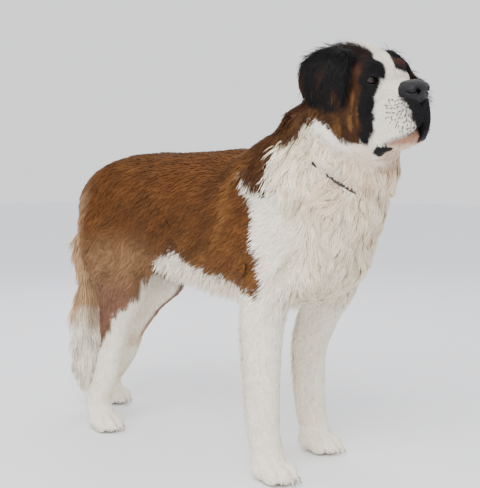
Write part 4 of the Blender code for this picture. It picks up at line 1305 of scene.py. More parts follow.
@dataclass
class TuftMaker:
    """Turns batches of tufts into closed, tapered, three-sided meshes."""

    tree: BVHTree
    shape: TuftShape
    # Painted shade deep in the coat: the share of its colour a root keeps, on pale and on dark coats, and how
    # much lighter the tips are
    root_pale: tuple = (0.93, 0.895, 0.83)
    root_dark: tuple = (0.74, 0.70, 0.66)
    tip: float = 1.07
    roundness: float = 0.45
    crest: float = 0.42
    lowest: float = 0.0006
    overlay: Callable | None = None

    def centre_line(self, t: Tufts, share: float) -> tuple:
        """Middles and normals of all tufts at one share of their length.

        Args:
            t: the tufts.
            share: 0 at the root, 1 at the tip.

        Returns:
            The middles, and the skin's normals there.
        """
        rise = t.height * (1.7 * share - 0.75 * share**2) - 0.0015 * (share == 0)
        side = np.cross(t.lie, t.normals)
        swing = t.wave * (np.sin(t.phase + share * 5.6) - np.sin(t.phase)) * share**0.6
        inwards = t.anchor - t.roots
        inwards = inwards - t.normals * (inwards * t.normals).sum(1)[:, None]
        flat = t.roots + t.lie * (t.length * share)[:, None] + side * swing[:, None]
        flat += inwards * (t.gather * share**1.3)[:, None]
        if share == 0:
            return flat + t.normals * rise[:, None], t.normals
        over, turned = np.empty_like(flat), np.empty_like(flat)
        find = self.tree.find_nearest
        for i, place in enumerate(flat.tolist()):
            over[i], turned[i] = find(place)[:2]
        cling = t.cling[:, None]
        base = flat + (over - flat) * cling
        normal = unit(t.normals + (turned - t.normals) * cling)
        return base + normal * rise[:, None], normal

    @staticmethod
    def upright(t: Tufts, along: Array, normal: Array) -> Array:
        """The given normals, squared to each hair's own course and never turned over past its root's.

        Args:
            t: the tufts.
            along: the course of each hair.
            normal: the skin's normal under it.

        Returns:
            One normal for each hair.
        """
        flat = normal - along * (normal * along).sum(1)[:, None]
        root = t.normals - along * (t.normals * along).sum(1)[:, None]
        turned = np.maximum(0.0, 0.35 - (flat * t.normals).sum(1))
        return unit(flat + root * turned[:, None])

    def facing(self, normal: Array, out: Array) -> Array:
        """Soft shading normals: mostly the skin's, turned out from the hair's middle where they disagree."""
        lean = np.maximum(self.roundness, 0.25 - (normal * out).sum(1))
        return unit(normal + out * lean[:, None])

    def tones(self, t: Tufts, share: float) -> Array:
        """The tufts' colours at one share of their length, from painted shade at the roots to lighter tips.
        """
        pale = ease(0.25, 0.55, t.colours.mean(1))[:, None]
        root = np.array(self.root_dark) + (np.array(self.root_pale) - self.root_dark) * pale
        return t.colours * (root + (self.tip - root) * share**0.8)

    def build(self, name: str, t: Tufts, wrap: Wrap) -> Object:
        """Makes one coat piece.

        Args:
            name: the piece's name.
            t: its tufts.
            wrap: how their roots are laid out flat for baking.

        Returns:
            The finished, painted object.
        """
        shares, widths = self.shape.value
        count, per = len(t.roots), len(shares) * 3 + 1
        places, tints, facing, below = (np.zeros((count, per, 3)) for _ in range(4))
        course = [self.centre_line(t, share) for share in (*shares, 1.0)]
        for ring, (share, breadth) in enumerate(zip(shares, widths)):
            middle = course[ring][0]
            along = unit(course[ring + 1][0] - course[max(ring - 1, 0)][0])
            normal = self.upright(t, along, course[ring][1])
            side = unit(np.cross(along, normal)) * (t.width * breadth / 2)[:, None]
            crest = normal * (t.width * self.crest * breadth)[:, None]
            tint = self.tones(t, share)
            tint = self.overlay(middle, tint) if self.overlay else tint
            for k, offset in enumerate((side, -side, crest)):
                places[:, ring * 3 + k] = middle + offset
                tints[:, ring * 3 + k] = tint
                facing[:, ring * 3 + k] = self.facing(normal, unit(offset))
                below[:, ring * 3 + k] = unit(unit(offset) * 0.5 - normal)
        along = unit(course[-1][0] - course[-2][0])
        normal = self.upright(t, along, course[-1][1])
        places[:, -1], tints[:, -1] = course[-1][0], self.tones(t, 1.0)
        facing[:, -1] = unit(normal + along * 0.6)
        below[:, -1] = unit(along * 0.6 - normal)
        places[:, :, 2] = np.maximum(places[:, :, 2], self.lowest)
        pattern, under = self.pattern(len(shares))
        triangles = (pattern[None] + (np.arange(count) * per)[:, None, None]).reshape(-1, 3)
        obj = mesh_from_arrays(name, places.reshape(-1, 3), triangles)
        store_colours(obj.data, tints.reshape(-1, 3))
        corners = facing[:, pattern.ravel()]
        corners[:, under] = below[:, pattern.ravel()[under]]
        obj.data.normals_split_custom_set(corners.reshape(-1, 3))
        self.lay_out(obj.data, t.roots, wrap, pattern, per)
        return obj

    @staticmethod
    def pattern(rings: int) -> tuple:
        """How one tuft's corners are joined.

        Args:
            rings: how many rings of three corners come before its tip.

        Returns:
            Its triangles, and for each corner of them whether it faces down to the skin.
        """
        faces, under = [(0, 2, 1)], [True]
        for ring in range(rings):
            for k in range(3):
                a, b = ring * 3 + k, ring * 3 + (k + 1) % 3
                side = [(a, b, b + 3), (a, b + 3, a + 3)] if ring < rings - 1 else [(a, b, rings * 3)]
                faces += side
                under += [k == 0] * len(side)
        return np.array(faces), np.repeat(under, 3)

    @staticmethod
    def lay_out(mesh: Mesh, roots: Array, wrap: Wrap, pattern: Array, per: int) -> None:
        """Gives each tuft a small patch at its root's place on a flat layout of the skin's own shape.

        Args:
            mesh: the piece's mesh.
            roots: the roots.
            wrap: how they are laid out.
            pattern: one tuft's triangles.
            per: how many corners a tuft has.
        """
        rel = roots - (roots.min(0) + roots.max(0)) / 2
        if wrap is Wrap.ALONG_X:
            u, v = roots[:, 0], np.arctan2(rel[:, 2], rel[:, 1])
        elif wrap is Wrap.ALONG_Z:
            u, v = np.arctan2(rel[:, 1], rel[:, 0]), roots[:, 2]
        else:
            u = np.arctan2(rel[:, 1], rel[:, 0])
            v = np.arcsin(np.clip(rel[:, 2] / np.maximum(np.linalg.norm(rel, axis=1), 1e-6), -1, 1))
        flat = np.stack([(w - w.min()) / max(np.ptp(w), 1e-6) * 0.99 + 0.003 for w in (u, v)], 1)
        ring = np.minimum(np.arange(per) // 3, 3)
        shift = np.stack([(np.arange(per) % 3 - 1) * 0.0013, (ring - 1.5) * 0.0009], 1)
        corners = flat[:, None, :] + shift[pattern.ravel()][None]
        layer = mesh.uv_layers.new(name="OFBake")
        layer.data.foreach_set("uv", corners.astype(np.float32).ravel())


def clump_anchors(places: Array, size: Array, seed: int) -> tuple:
    """Gathers roots into locks.

    Args:
        places: the roots.
        size: the breadth of a lock at each root.
        seed: picks the locks.

    Returns:
        For each root, the middle of its lock and the lock's number.
    """
    rng = np.random.default_rng(seed)
    order = rng.permutation(len(places))
    _, first = np.unique(grid_cells(places, size)[order], axis=0, return_index=True)
    middles = places[order[first]]
    tree = point_tree(middles)
    number = np.array([tree.find(place)[1] for place in places])
    return middles[number], number


class CoatSize(Enum):
    """Sizes of the body's coat, in metres or shares: the flank's, then what each other zone moves it to."""

    SPACING = {"flank": 0.0052, "nape": 0.0047, "leg": 0.0047, "paw": 0.0043, "belly": 0.0050, "ruff": 0.0041,
               "tail": 0.0045}
    LENGTH = {"flank": 0.028, "shoulder": 0.021, "nape": 0.038, "leg": 0.016, "paw": 0.009, "belly": 0.036,
              "feather": 0.030, "breech": 0.044, "ruff": 0.058, "tail": 0.075}
    HEIGHT = {"flank": 0.0052, "shoulder": 0.0036, "nape": 0.0078, "leg": 0.0028, "paw": 0.0014,
              "belly": 0.0085, "feather": 0.0080, "breech": 0.0090, "ruff": 0.0115, "tail": 0.0130}
    WIDTH = {"flank": 0.0024, "leg": 0.0017, "paw": 0.0012, "belly": 0.0022, "breech": 0.0023, "ruff": 0.0024,
             "tail": 0.0023}
    LOCK = {"flank": 0.010, "leg": 0.007, "nape": 0.013, "belly": 0.013, "breech": 0.015, "ruff": 0.021,
            "tail": 0.020}
    WAVE = {"flank": 0.0008, "leg": 0.0003, "nape": 0.0016, "breech": 0.0020, "ruff": 0.0054, "tail": 0.0010}
    GATHER = {"flank": 0.45, "leg": 0.35, "breech": 0.55, "ruff": 0.70, "tail": 0.25}
    CLING = {"flank": 0.85, "belly": 0.45, "feather": 0.45, "breech": 0.72, "tail": 0.40}
    LIFT = {"flank": 1.0, "tail": 0.4}
    WILD = {"flank": 0.15, "breech": 0.34, "belly": 0.30, "nape": 0.26, "tail": 0.10, "leg": 0.12}


@dataclass
class BodyCoat:
    """The coat of the body, legs and tail: its lengths, lie and spacing by place."""

    skin: Skin
    seed: int = 5
    paw_spacing: float = 0.0042
    whorl: tuple = (-0.222, 0.505)
    collar: KDTree = field(init=False)

    def __post_init__(self) -> None:
        """Notes where the collar runs."""
        self.collar = point_tree([vert.co.copy() for vert in self.skin.nodes["collar"].data.vertices])

    def press(self, t: Tufts) -> None:
        """Ends the hair above the collar at it, where the collar shows on the near side.

        Args:
            t: the tufts, which are changed.
        """
        near = (t.roots[:, 0] > 0.33) & (t.roots[:, 1] < -0.05) & (t.roots[:, 2] > 0.66)
        for i in np.flatnonzero(near):
            at, _, gap = self.collar.find(t.roots[i])
            show = min(ease(0.400, 0.414, at.x), ease(-0.070, -0.085, at.y))
            if show > 0 and gap < 0.075 and t.roots[i, 2] > at.z - 0.004:
                short = max(gap + 0.0020, 0.005)
                t.length[i] += (min(t.length[i], short) - t.length[i]) * show
                t.height[i] *= 1 - 0.50 * show * (1 - min(gap / 0.06, 1.0))
                t.gather[i] *= 1 - 0.8 * show

    def zones(self, p: Array, n: Array) -> dict:
        """Weights from 0 to 1 of the kinds of coat at each place.

        Args:
            p: places on the body.
            n: outward normals there.

        Returns:
            Each kind's weights, by name.
        """
        x, y, z = p.T
        tail = ((x < -0.462) & (np.abs(y) < 0.062) & (z < 0.655)).astype(float)
        ruff = self.skin.ruff(p)
        nape = ease(0.16, 0.25, x) * ease(0.66, 0.72, z) * (1 - ruff)
        belly = ease(-0.1, -0.6, n[:, 2]) * ease(0.385, 0.41, z) * ease(0.54, 0.49, z) * (1 - ruff)
        breech = ease(-0.28, -0.36, x) * ease(0.1, -0.6, n[:, 0]) * ease(0.26, 0.34, z) * (1 - tail)
        feather = ease(-0.2, -0.8, n[:, 0]) * ease(0.10, 0.22, z) * ease(0.40, 0.36, z) * (x > 0.1)
        leg = ease(0.46, 0.34, z) * (1 - tail)
        paw = ease(0.10, 0.07, z) * (1 - tail)
        shoulder = ease(0.22, 0.26, x) * ease(0.70, 0.66, z) * (1 - ruff) * (1 - leg)
        return {"shoulder": shoulder, "nape": nape, "leg": leg * (1 - ruff), "paw": paw, "belly": belly,
                "feather": feather, "breech": breech, "ruff": ruff, "tail": tail}

    @staticmethod
    def graded(zone: dict, kind: CoatSize) -> Array:
        """One size of the coat at each place, from the weights of its zones.

        Args:
            zone: the kinds of coat's weights there.
            kind: which size.

        Returns:
            One value for each place.
        """
        flank, *others = kind.value.items()
        size = flank[1]
        for name, value in others:
            size = size + (value - size) * zone[name]
        return size

    def spacing(self, p: Array, n: Array) -> Array:
        """The distance between roots."""
        return self.graded(self.zones(p, n), CoatSize.SPACING)

    def lie(self, p: Array, n: Array, zone: dict) -> Array:
        """Which way the fur lies, along the skin.

        Args:
            p: places on the body.
            n: outward normals there.
            zone: the kinds of coat's weights there.

        Returns:
            One direction for each place.
        """
        x, y, z = p.T
        flow = repeated((-0.80, 0.0, -0.60), len(p))
        flow = mixed(flow, (-1.0, 0.0, -0.10), ease(0.68, 0.76, z))
        flow = mixed(flow, (-0.35, 0.0, -1.0), np.maximum(ease(-0.15, -0.35, x), zone["leg"]))
        flow = mixed(flow, (-0.34, 0.0, -1.0), zone["ruff"])
        flow[:, 1] -= 0.22 * np.sign(y) * zone["ruff"] * ease(0.42, 0.50, x)
        flow = mixed(flow, (-0.55, 0.0, -0.85), zone["nape"] * ease(0.03, 0.10, np.abs(y)))
        flow = mixed(flow, (-0.85, 0.0, -0.45), zone["belly"])
        flow = mixed(flow, (-0.06, 0.0, -1.0), zone["tail"])
        flow = mixed(flow, (0.10, 0.0, -1.0), ease(0.13, 0.08, z) * (1 - zone["tail"]))
        flow = mixed(flow, (0.90, 0.0, -0.35), ease(0.062, 0.040, z) * (1 - zone["tail"]))
        ahead, above = x - self.whorl[0], z - self.whorl[1]
        swirl = 1.2 * ease(0.085, 0.03, np.hypot(ahead, above)) * (zone["leg"] < 0.9)
        flow[:, 0] += swirl * np.sin(above * 55)
        flow[:, 2] -= swirl * np.sin(ahead * 55)
        wild = self.graded(zone, CoatSize.WILD) * (1 - zone["ruff"])
        for axis, seed in ((0, 41), (1, 42), (2, 43)):
            flow[:, axis] += wild * (0.7 * ripple(p, 0.045, seed) + 0.5 * ripple(p, 0.018, seed + 10))
            curl = 0.42 * ripple(p, 0.100, seed + 20) + 0.32 * ripple(p, 0.045, seed + 30)
            flow[:, axis] += zone["ruff"] * curl
        flow -= n * (flow * n).sum(1)[:, None]
        return unit(flow)

    def grow(self, roots: Roots, seed: int) -> Tufts:
        """The tufts that grow from roots on the body.

        Args:
            roots: where they grow.
            seed: picks their variation.

        Returns:
            The tufts.
        """
        p, n = roots.places, roots.normals
        rng = np.random.default_rng(seed)
        zone = self.zones(p, n)
        count = len(p)
        size = self.graded(zone, CoatSize.LOCK)
        anchor, number = clump_anchors(p, size, seed + 1)
        share = zone["ruff"] * 0.75
        base_lie = self.lie(p, n, zone)
        lock_lie = base_lie[np.unique(number, return_index=True)[1]]
        locks = number.max() + 1
        lie = mixed(base_lie, (0, 0, 0), share) + lock_lie[number] * share[:, None]
        lie = unit(lie + rng.normal(scale=0.07, size=(count, 3)))
        lie = unit(lie - n * (lie * n).sum(1)[:, None])
        lift = self.graded(zone, CoatSize.LIFT) * rng.uniform(-0.30, 0.25, locks)[number] + 0.95
        tone = rng.uniform(0.92, 1.07, locks)[number] * rng.uniform(0.90, 1.08, count)
        colours = self.skin.body_colours(p, n) * tone[:, None]
        edge = ease(0.20, 0.60, np.linalg.norm(p - anchor, axis=1) / size)
        colours *= 1 - LOCK_SHADE * (edge * (0.25 + 0.85 * zone["ruff"]))[:, None]
        length = self.graded(zone, CoatSize.LENGTH) * rng.uniform(0.75, 1.15, count)
        height = self.graded(zone, CoatSize.HEIGHT) * lift * rng.uniform(0.7, 1.1, count)
        width = self.graded(zone, CoatSize.WIDTH) * rng.uniform(0.8, 1.2, count)
        wave, gather, cling = (
            self.graded(zone, kind) for kind in (CoatSize.WAVE, CoatSize.GATHER, CoatSize.CLING))
        phase = rng.uniform(0, 2 * math.pi, locks)[number] + rng.normal(scale=0.25, size=count)
        return Tufts(p, n, lie, length, height, width, colours, wave, phase, cling, gather, anchor)

    def fringe(self, roots: Roots, seed: int) -> Tufts:
        """Longer hair that hangs free under the belly and behind the forearms.

        Args:
            roots: where it grows.
            seed: picks its variation.

        Returns:
            The tufts.
        """
        tufts = self.grow(roots, seed)
        hang = repeated((-0.45, 0.0, -1.0), len(roots.places))
        tufts.lie = unit(hang + np.random.default_rng(seed).normal(scale=0.16, size=hang.shape))
        tufts.length = tufts.length * 0.95
        tufts.height = tufts.height * 0.2
        tufts.cling = np.zeros(len(hang))
        tufts.width = tufts.width * 0.85
        return tufts

    def build(self, material: Material) -> None:
        """Makes the body's coat pieces, each on its own stretch of the body.

        Args:
            material: the coat's finish.
        """
        body = self.skin.body
        z = body.places[:, 2]
        keep = (past_wall(body.places) < -0.006) & (z > 0.060 + 0.007 * ripple(body.places, 0.018, 51))
        roots = body.scatter(self.spacing, keep, self.seed)
        tree = body.tree()
        zone = self.zones(roots.places, roots.normals)
        for number, (name, (chosen, wrap, shape)) in enumerate(self.stretches(roots, zone).items()):
            tufts = self.grow(roots.part(chosen), self.seed + 10 * number)
            self.press(tufts)
            self.seat(TuftMaker(tree, shape).build(name, tufts, wrap), material)
        x, y, _ = roots.places.T
        under = (zone["belly"] > 0.5) & (np.abs(y) > 0.035) & (np.abs(y) < 0.14) & (x > -0.12)
        thinned = np.random.default_rng(self.seed).random(len(x)) < 0.55
        hanging = self.fringe(roots.part((under | (zone["feather"] > 0.5)) & thinned), self.seed + 300)
        self.seat(TuftMaker(tree, TuftShape.MIDDLE).build("coat_fringe", hanging, Wrap.ALONG_X), material)
        for name, paw in zip(PAW_NODES, self.skin.paws):
            keep = (paw.places[:, 2] < 0.070) & (paw.places[:, 2] > 0.004)
            picked = paw.scatter(evenly(self.paw_spacing), keep, self.seed + 7)
            maker = TuftMaker(paw.tree(), TuftShape.SHORT)
            self.seat(maker.build(f"coat_{name}", self.grow(picked, self.seed + 8), Wrap.ROUND), material)

    @staticmethod
    def stretches(roots: Roots, zone: dict) -> dict:
        """Shares the body's roots out among the coat pieces.

        Args:
            roots: all roots on the body.
            zone: the kinds of coat's weights there.

        Returns:
            For each piece's name, a mask of its roots, how it is laid out and how finely its tufts are made.
        """
        x, y, z = roots.places.T
        tail = zone["tail"] > 0.5
        leg = (z < 0.40) & ~tail
        trunk = ~leg & ~tail
        ruff = trunk & (x > 0.30)
        pieces = {"coat_tail": (tail, Wrap.ALONG_Z, TuftShape.LONG)}
        for word, side in (("left", y > 0), ("right", y <= 0)):
            rest = trunk & ~ruff & side
            for kind, chosen, wrap, shape in (
                ("foreleg", leg & side & (x > 0.05), Wrap.ALONG_Z, TuftShape.SHORT),
                ("hindleg", leg & side & (x <= 0.05), Wrap.ALONG_Z, TuftShape.SHORT),
                ("neck", ruff & side & (z > 0.62), Wrap.ALONG_Z, TuftShape.LONG),
                ("chest", ruff & side & (z <= 0.62), Wrap.ALONG_Z, TuftShape.LONG),
                ("barrel", rest & (x > -0.10), Wrap.ALONG_X, TuftShape.MIDDLE),
                ("rump", rest & (x <= -0.10), Wrap.ALONG_X, TuftShape.MIDDLE),
            ):
                pieces[f"coat_{kind}_{word}"] = (chosen, wrap, shape)
        return pieces

    @staticmethod
    def seat(piece: Object, material: Material) -> None:
        """Dresses and seats one coat piece."""
        brown = any(word in piece.name for word in ("barrel", "rump"))
        seated_piece(piece, material, "coat_brown" if brown else "coat_white")


@dataclass
class HeadCoat:
    """The short coat of the face and the longer coat of the cheeks, the throat and the ears."""

    skin: Skin
    body_coat: BodyCoat
    seed: int = 15
    throat_shade: tuple = (0.07, 0.09, 0.13)
    whisker_spacing: float = 0.0078
    whisker_tint: Colour = (0.040, 0.038, 0.041)
    spot_tint: Colour = (0.030, 0.029, 0.031)
    wisp_spacing: float = 0.0030
    wisp_lie: tuple = (0.80, 0.02, -0.50)
    # Painted shade at the roots of the head's tufts, on pale and on dark coats
    root_pale: tuple = (0.97, 0.95, 0.92)
    root_dark: tuple = (0.86, 0.83, 0.80)

    @staticmethod
    def spacing(p: Array, n: Array) -> Array:
        """The distance between roots."""
        return 0.0022 + 0.0012 * ease(0.0, -0.06, head_local(p)[:, 0])

    def lie(self, p: Array, n: Array, ear: Array) -> Array:
        """Which way the face's fur lies: back from the nose, down the flews and cheeks, down the ears.

        Args:
            p: places on the head.
            n: outward normals there.
            ear: 1 on an ear, 0 elsewhere.

        Returns:
            One direction for each place.
        """
        f, l, u = head_local(p).T
        flow = repeated((-0.75, 0.0, -0.55), len(p))
        flow = mixed(flow, (-1.0, 0.0, 0.15), ease(-0.045, -0.02, u) * ease(0.0, 0.03, f))
        flow = mixed(flow, (-0.75, 0.0, 0.55), ease(0.01, 0.03, u) * ease(0.04, 0.0, f))
        flow = mixed(flow, (-1.0, 0.0, -0.1), ease(-0.03, -0.07, f) * ease(0.03, 0.06, u))
        flow = mixed(flow, (-0.35, 0.0, -1.0), ease(-0.06, -0.10, u))
        flow[:, 1] += np.sign(l) * 0.35 * ease(0.01, 0.04, u)
        flow = flow @ HEAD_TURNED.T
        flow = mixed(flow, (-0.30, 0.0, -1.0), ear)
        throat = ease(0.020, -0.010, past_wall(p)) * (1 - ear)
        flow += (self.body_coat.lie(p, n, self.body_coat.zones(p, n)) - flow) * throat[:, None]
        for axis, seed in ((0, 71), (1, 72), (2, 73)):
            flow[:, axis] += 0.16 * ripple(p, 0.02, seed) + 0.10 * ripple(p, 0.008, seed + 5)
        flow -= n * (flow * n).sum(1)[:, None]
        return unit(flow)

    def build(self, material: Material) -> None:
        """Makes the head's coat pieces.

        Args:
            material: the coat's finish.
        """
        surface, skin = self.skin.head, self.skin
        local = head_local(surface.places)
        off_nose = np.linalg.norm(local * (1.1, 1.0, 1.0) - (0.077, 0, -0.038), axis=1) > 0.030
        keep = ((past_wall(surface.places) > -0.014) | (skin.ear > 0.5)) & (skin.head_bare() < 0.4) & off_nose
        roots = surface.scatter(self.spacing, keep, self.seed)
        ear = roots.read(skin.ear)
        tree = surface.tree()
        l = head_local(roots.places)[:, 1]
        tufts = self.grow(roots, ear, self.seed)
        for word, side in (("left", l > 0), ("right", l <= 0)):
            for kind, slot, chosen, shape in (("face", "coat_white", ear < 0.5, TuftShape.SHORT),
                                              ("ear", "coat_dark", ear >= 0.5, TuftShape.MIDDLE)):
                maker = TuftMaker(tree, shape, self.root_pale, self.root_dark, overlay=self.spotted)
                piece = maker.build(f"coat_{kind}_{word}", tufts.part(side & chosen), Wrap.ROUND)
                seated_piece(piece, material, slot)
        self.wisps(material)
        self.whiskers(material)

    def whiskers(self, material: Material) -> None:
        """Short dark whisker stubs, scattered evenly over the flews beside the leather.

        Args:
            material: the coat's finish.
        """
        surface = self.skin.head
        f, l, u = head_local(surface.places).T
        reach = np.abs(l) - table_line(self.skin.markings.leather_side, u)
        keep = (reach > 0.0005) & (reach < 0.027) & (f > 0.034) & (u < -0.046) & (u > -0.126)
        roots = surface.scatter(evenly(self.whisker_spacing), keep, self.seed + 12)
        tufts = self.grow(roots, np.zeros(len(roots.places)), self.seed + 12)
        rng = np.random.default_rng(self.seed + 12)
        count = len(roots.places)
        tufts.length = rng.uniform(0.0036, 0.0050, count)
        tufts.height = rng.uniform(0.0024, 0.0032, count)
        tufts.width = rng.uniform(0.0022, 0.0030, count)
        tufts.colours = repeated(self.whisker_tint, count)
        tufts.gather = np.zeros(count)
        piece = TuftMaker(surface.tree(), TuftShape.SHORT).build("coat_whiskers", tufts, Wrap.ROUND)
        seated_piece(piece, material, "coat_dark")

    def spotted(self, p: Array, tint: Array) -> Array:
        """Colours darkened by the whisker spots at these very places, however the hairs lie."""
        return mixed(tint, self.spot_tint, 0.9 * self.skin.markings.grizzle(p) * (tint.mean(1) > 0.2))

    def grow(self, roots: Roots, ear: Array, seed: int) -> Tufts:
        """The tufts that grow from roots on the head.

        Args:
            roots: where they grow.
            ear: 1 for a root on an ear, 0 elsewhere.
            seed: picks their variation.

        Returns:
            The tufts.
        """
        p, n = roots.places, roots.normals
        rng = np.random.default_rng(seed)
        count = len(p)
        f, _, u = head_local(p).T
        throat = ease(0.020, -0.010, past_wall(p)) * (1 - ear)
        cheek = ease(-0.020, -0.075, f) * (1 - ear)
        crown = ease(0.044, 0.066, u) * (1 - ear)
        high = crown * ease(0.0, -0.04, f)
        across = np.abs(n @ HEAD_TURNED[:, 1])
        rim = np.clip(ear * ease(0.80, 0.45, across), 0, 1)
        length = 0.0056 + 0.007 * crown + (0.016 + 0.012 * ease(-0.06, -0.12, u)) * cheek + 0.014 * ear
        length += 0.012 * high + 0.010 * rim
        length += (0.036 - length) * throat
        height = 0.0011 + 0.0034 * cheek + 0.0018 * ear + 0.0070 * crown + 0.0070 * high + 0.0040 * rim
        height += (0.0095 - height) * throat
        width = 0.0010 + 0.0008 * cheek + 0.0005 * ear + 0.0012 * throat
        length *= 1 - 0.45 * self.skin.markings.grizzle(p)
        colours = self.skin.head_colours(p, ear) * rng.uniform(0.88, 1.10, count)[:, None]
        colours *= 1 - np.array(self.throat_shade) * throat[:, None]
        stray = rng.normal(scale=0.09, size=(count, 3)) * (1 + 2.2 * rim + 1.2 * high)[:, None]
        size = 0.005 + 0.008 * np.maximum(cheek, throat) + 0.003 * ear + 0.004 * throat
        anchor, number = clump_anchors(p, size, seed + 1)
        edge = ease(0.20, 0.60, np.linalg.norm(p - anchor, axis=1) / size)
        colours *= 1 - LOCK_SHADE * (edge * (0.25 * cheek + 0.75 * throat))[:, None]
        loose = np.maximum(ear * ease(-0.045, -0.065, u), 1.3 * rim)
        return Tufts(
            roots=p, normals=n, lie=unit(self.lie(p, n, ear) + stray), colours=colours, anchor=anchor,
            phase=rng.uniform(0, 2 * math.pi, number.max() + 1)[number],
            length=length * rng.uniform(0.75, 1.2, count),
            height=height * rng.uniform(0.5, 1.2, count),
            width=width * rng.uniform(0.8, 1.2, count),
            wave=0.0003 + 0.0012 * cheek + 0.0038 * throat,
            cling=np.clip(0.88 - 0.35 * loose - 0.25 * crown, 0.1, 1),
            gather=0.30 + 0.35 * np.maximum(cheek, throat),
        )

    def wisps(self, material: Material) -> None:
        """A few free hairs at the far ear's front edge, blown forwards past the muzzle.

        Args:
            material: the coat's finish.
        """
        surface = self.skin.head
        f, l, u = head_local(surface.places).T
        keep = (self.skin.ear > 0.6) & (l > 0.10) & (f > -0.032) & (u < 0.0)
        roots = surface.scatter(evenly(self.wisp_spacing), keep, self.seed + 9)
        tufts = self.grow(roots, roots.read(self.skin.ear), self.seed + 9)
        rng = np.random.default_rng(self.seed + 9)
        count = len(roots.places)
        blown = HEAD_TURNED @ np.array(self.wisp_lie)
        tufts.lie = unit(blown + rng.normal(scale=0.20, size=(count, 3)))
        tufts.length = rng.uniform(0.014, 0.042, count)
        tufts.height = np.full(count, 0.0006)
        tufts.width = np.full(count, 0.0011)
        tufts.cling = np.zeros(count)
        tufts.gather = np.full(count, 0.5)
        piece = TuftMaker(surface.tree(), TuftShape.MIDDLE).build("coat_ear_wisps", tufts, Wrap.ROUND)
        seated_piece(piece, material, "coat_dark")


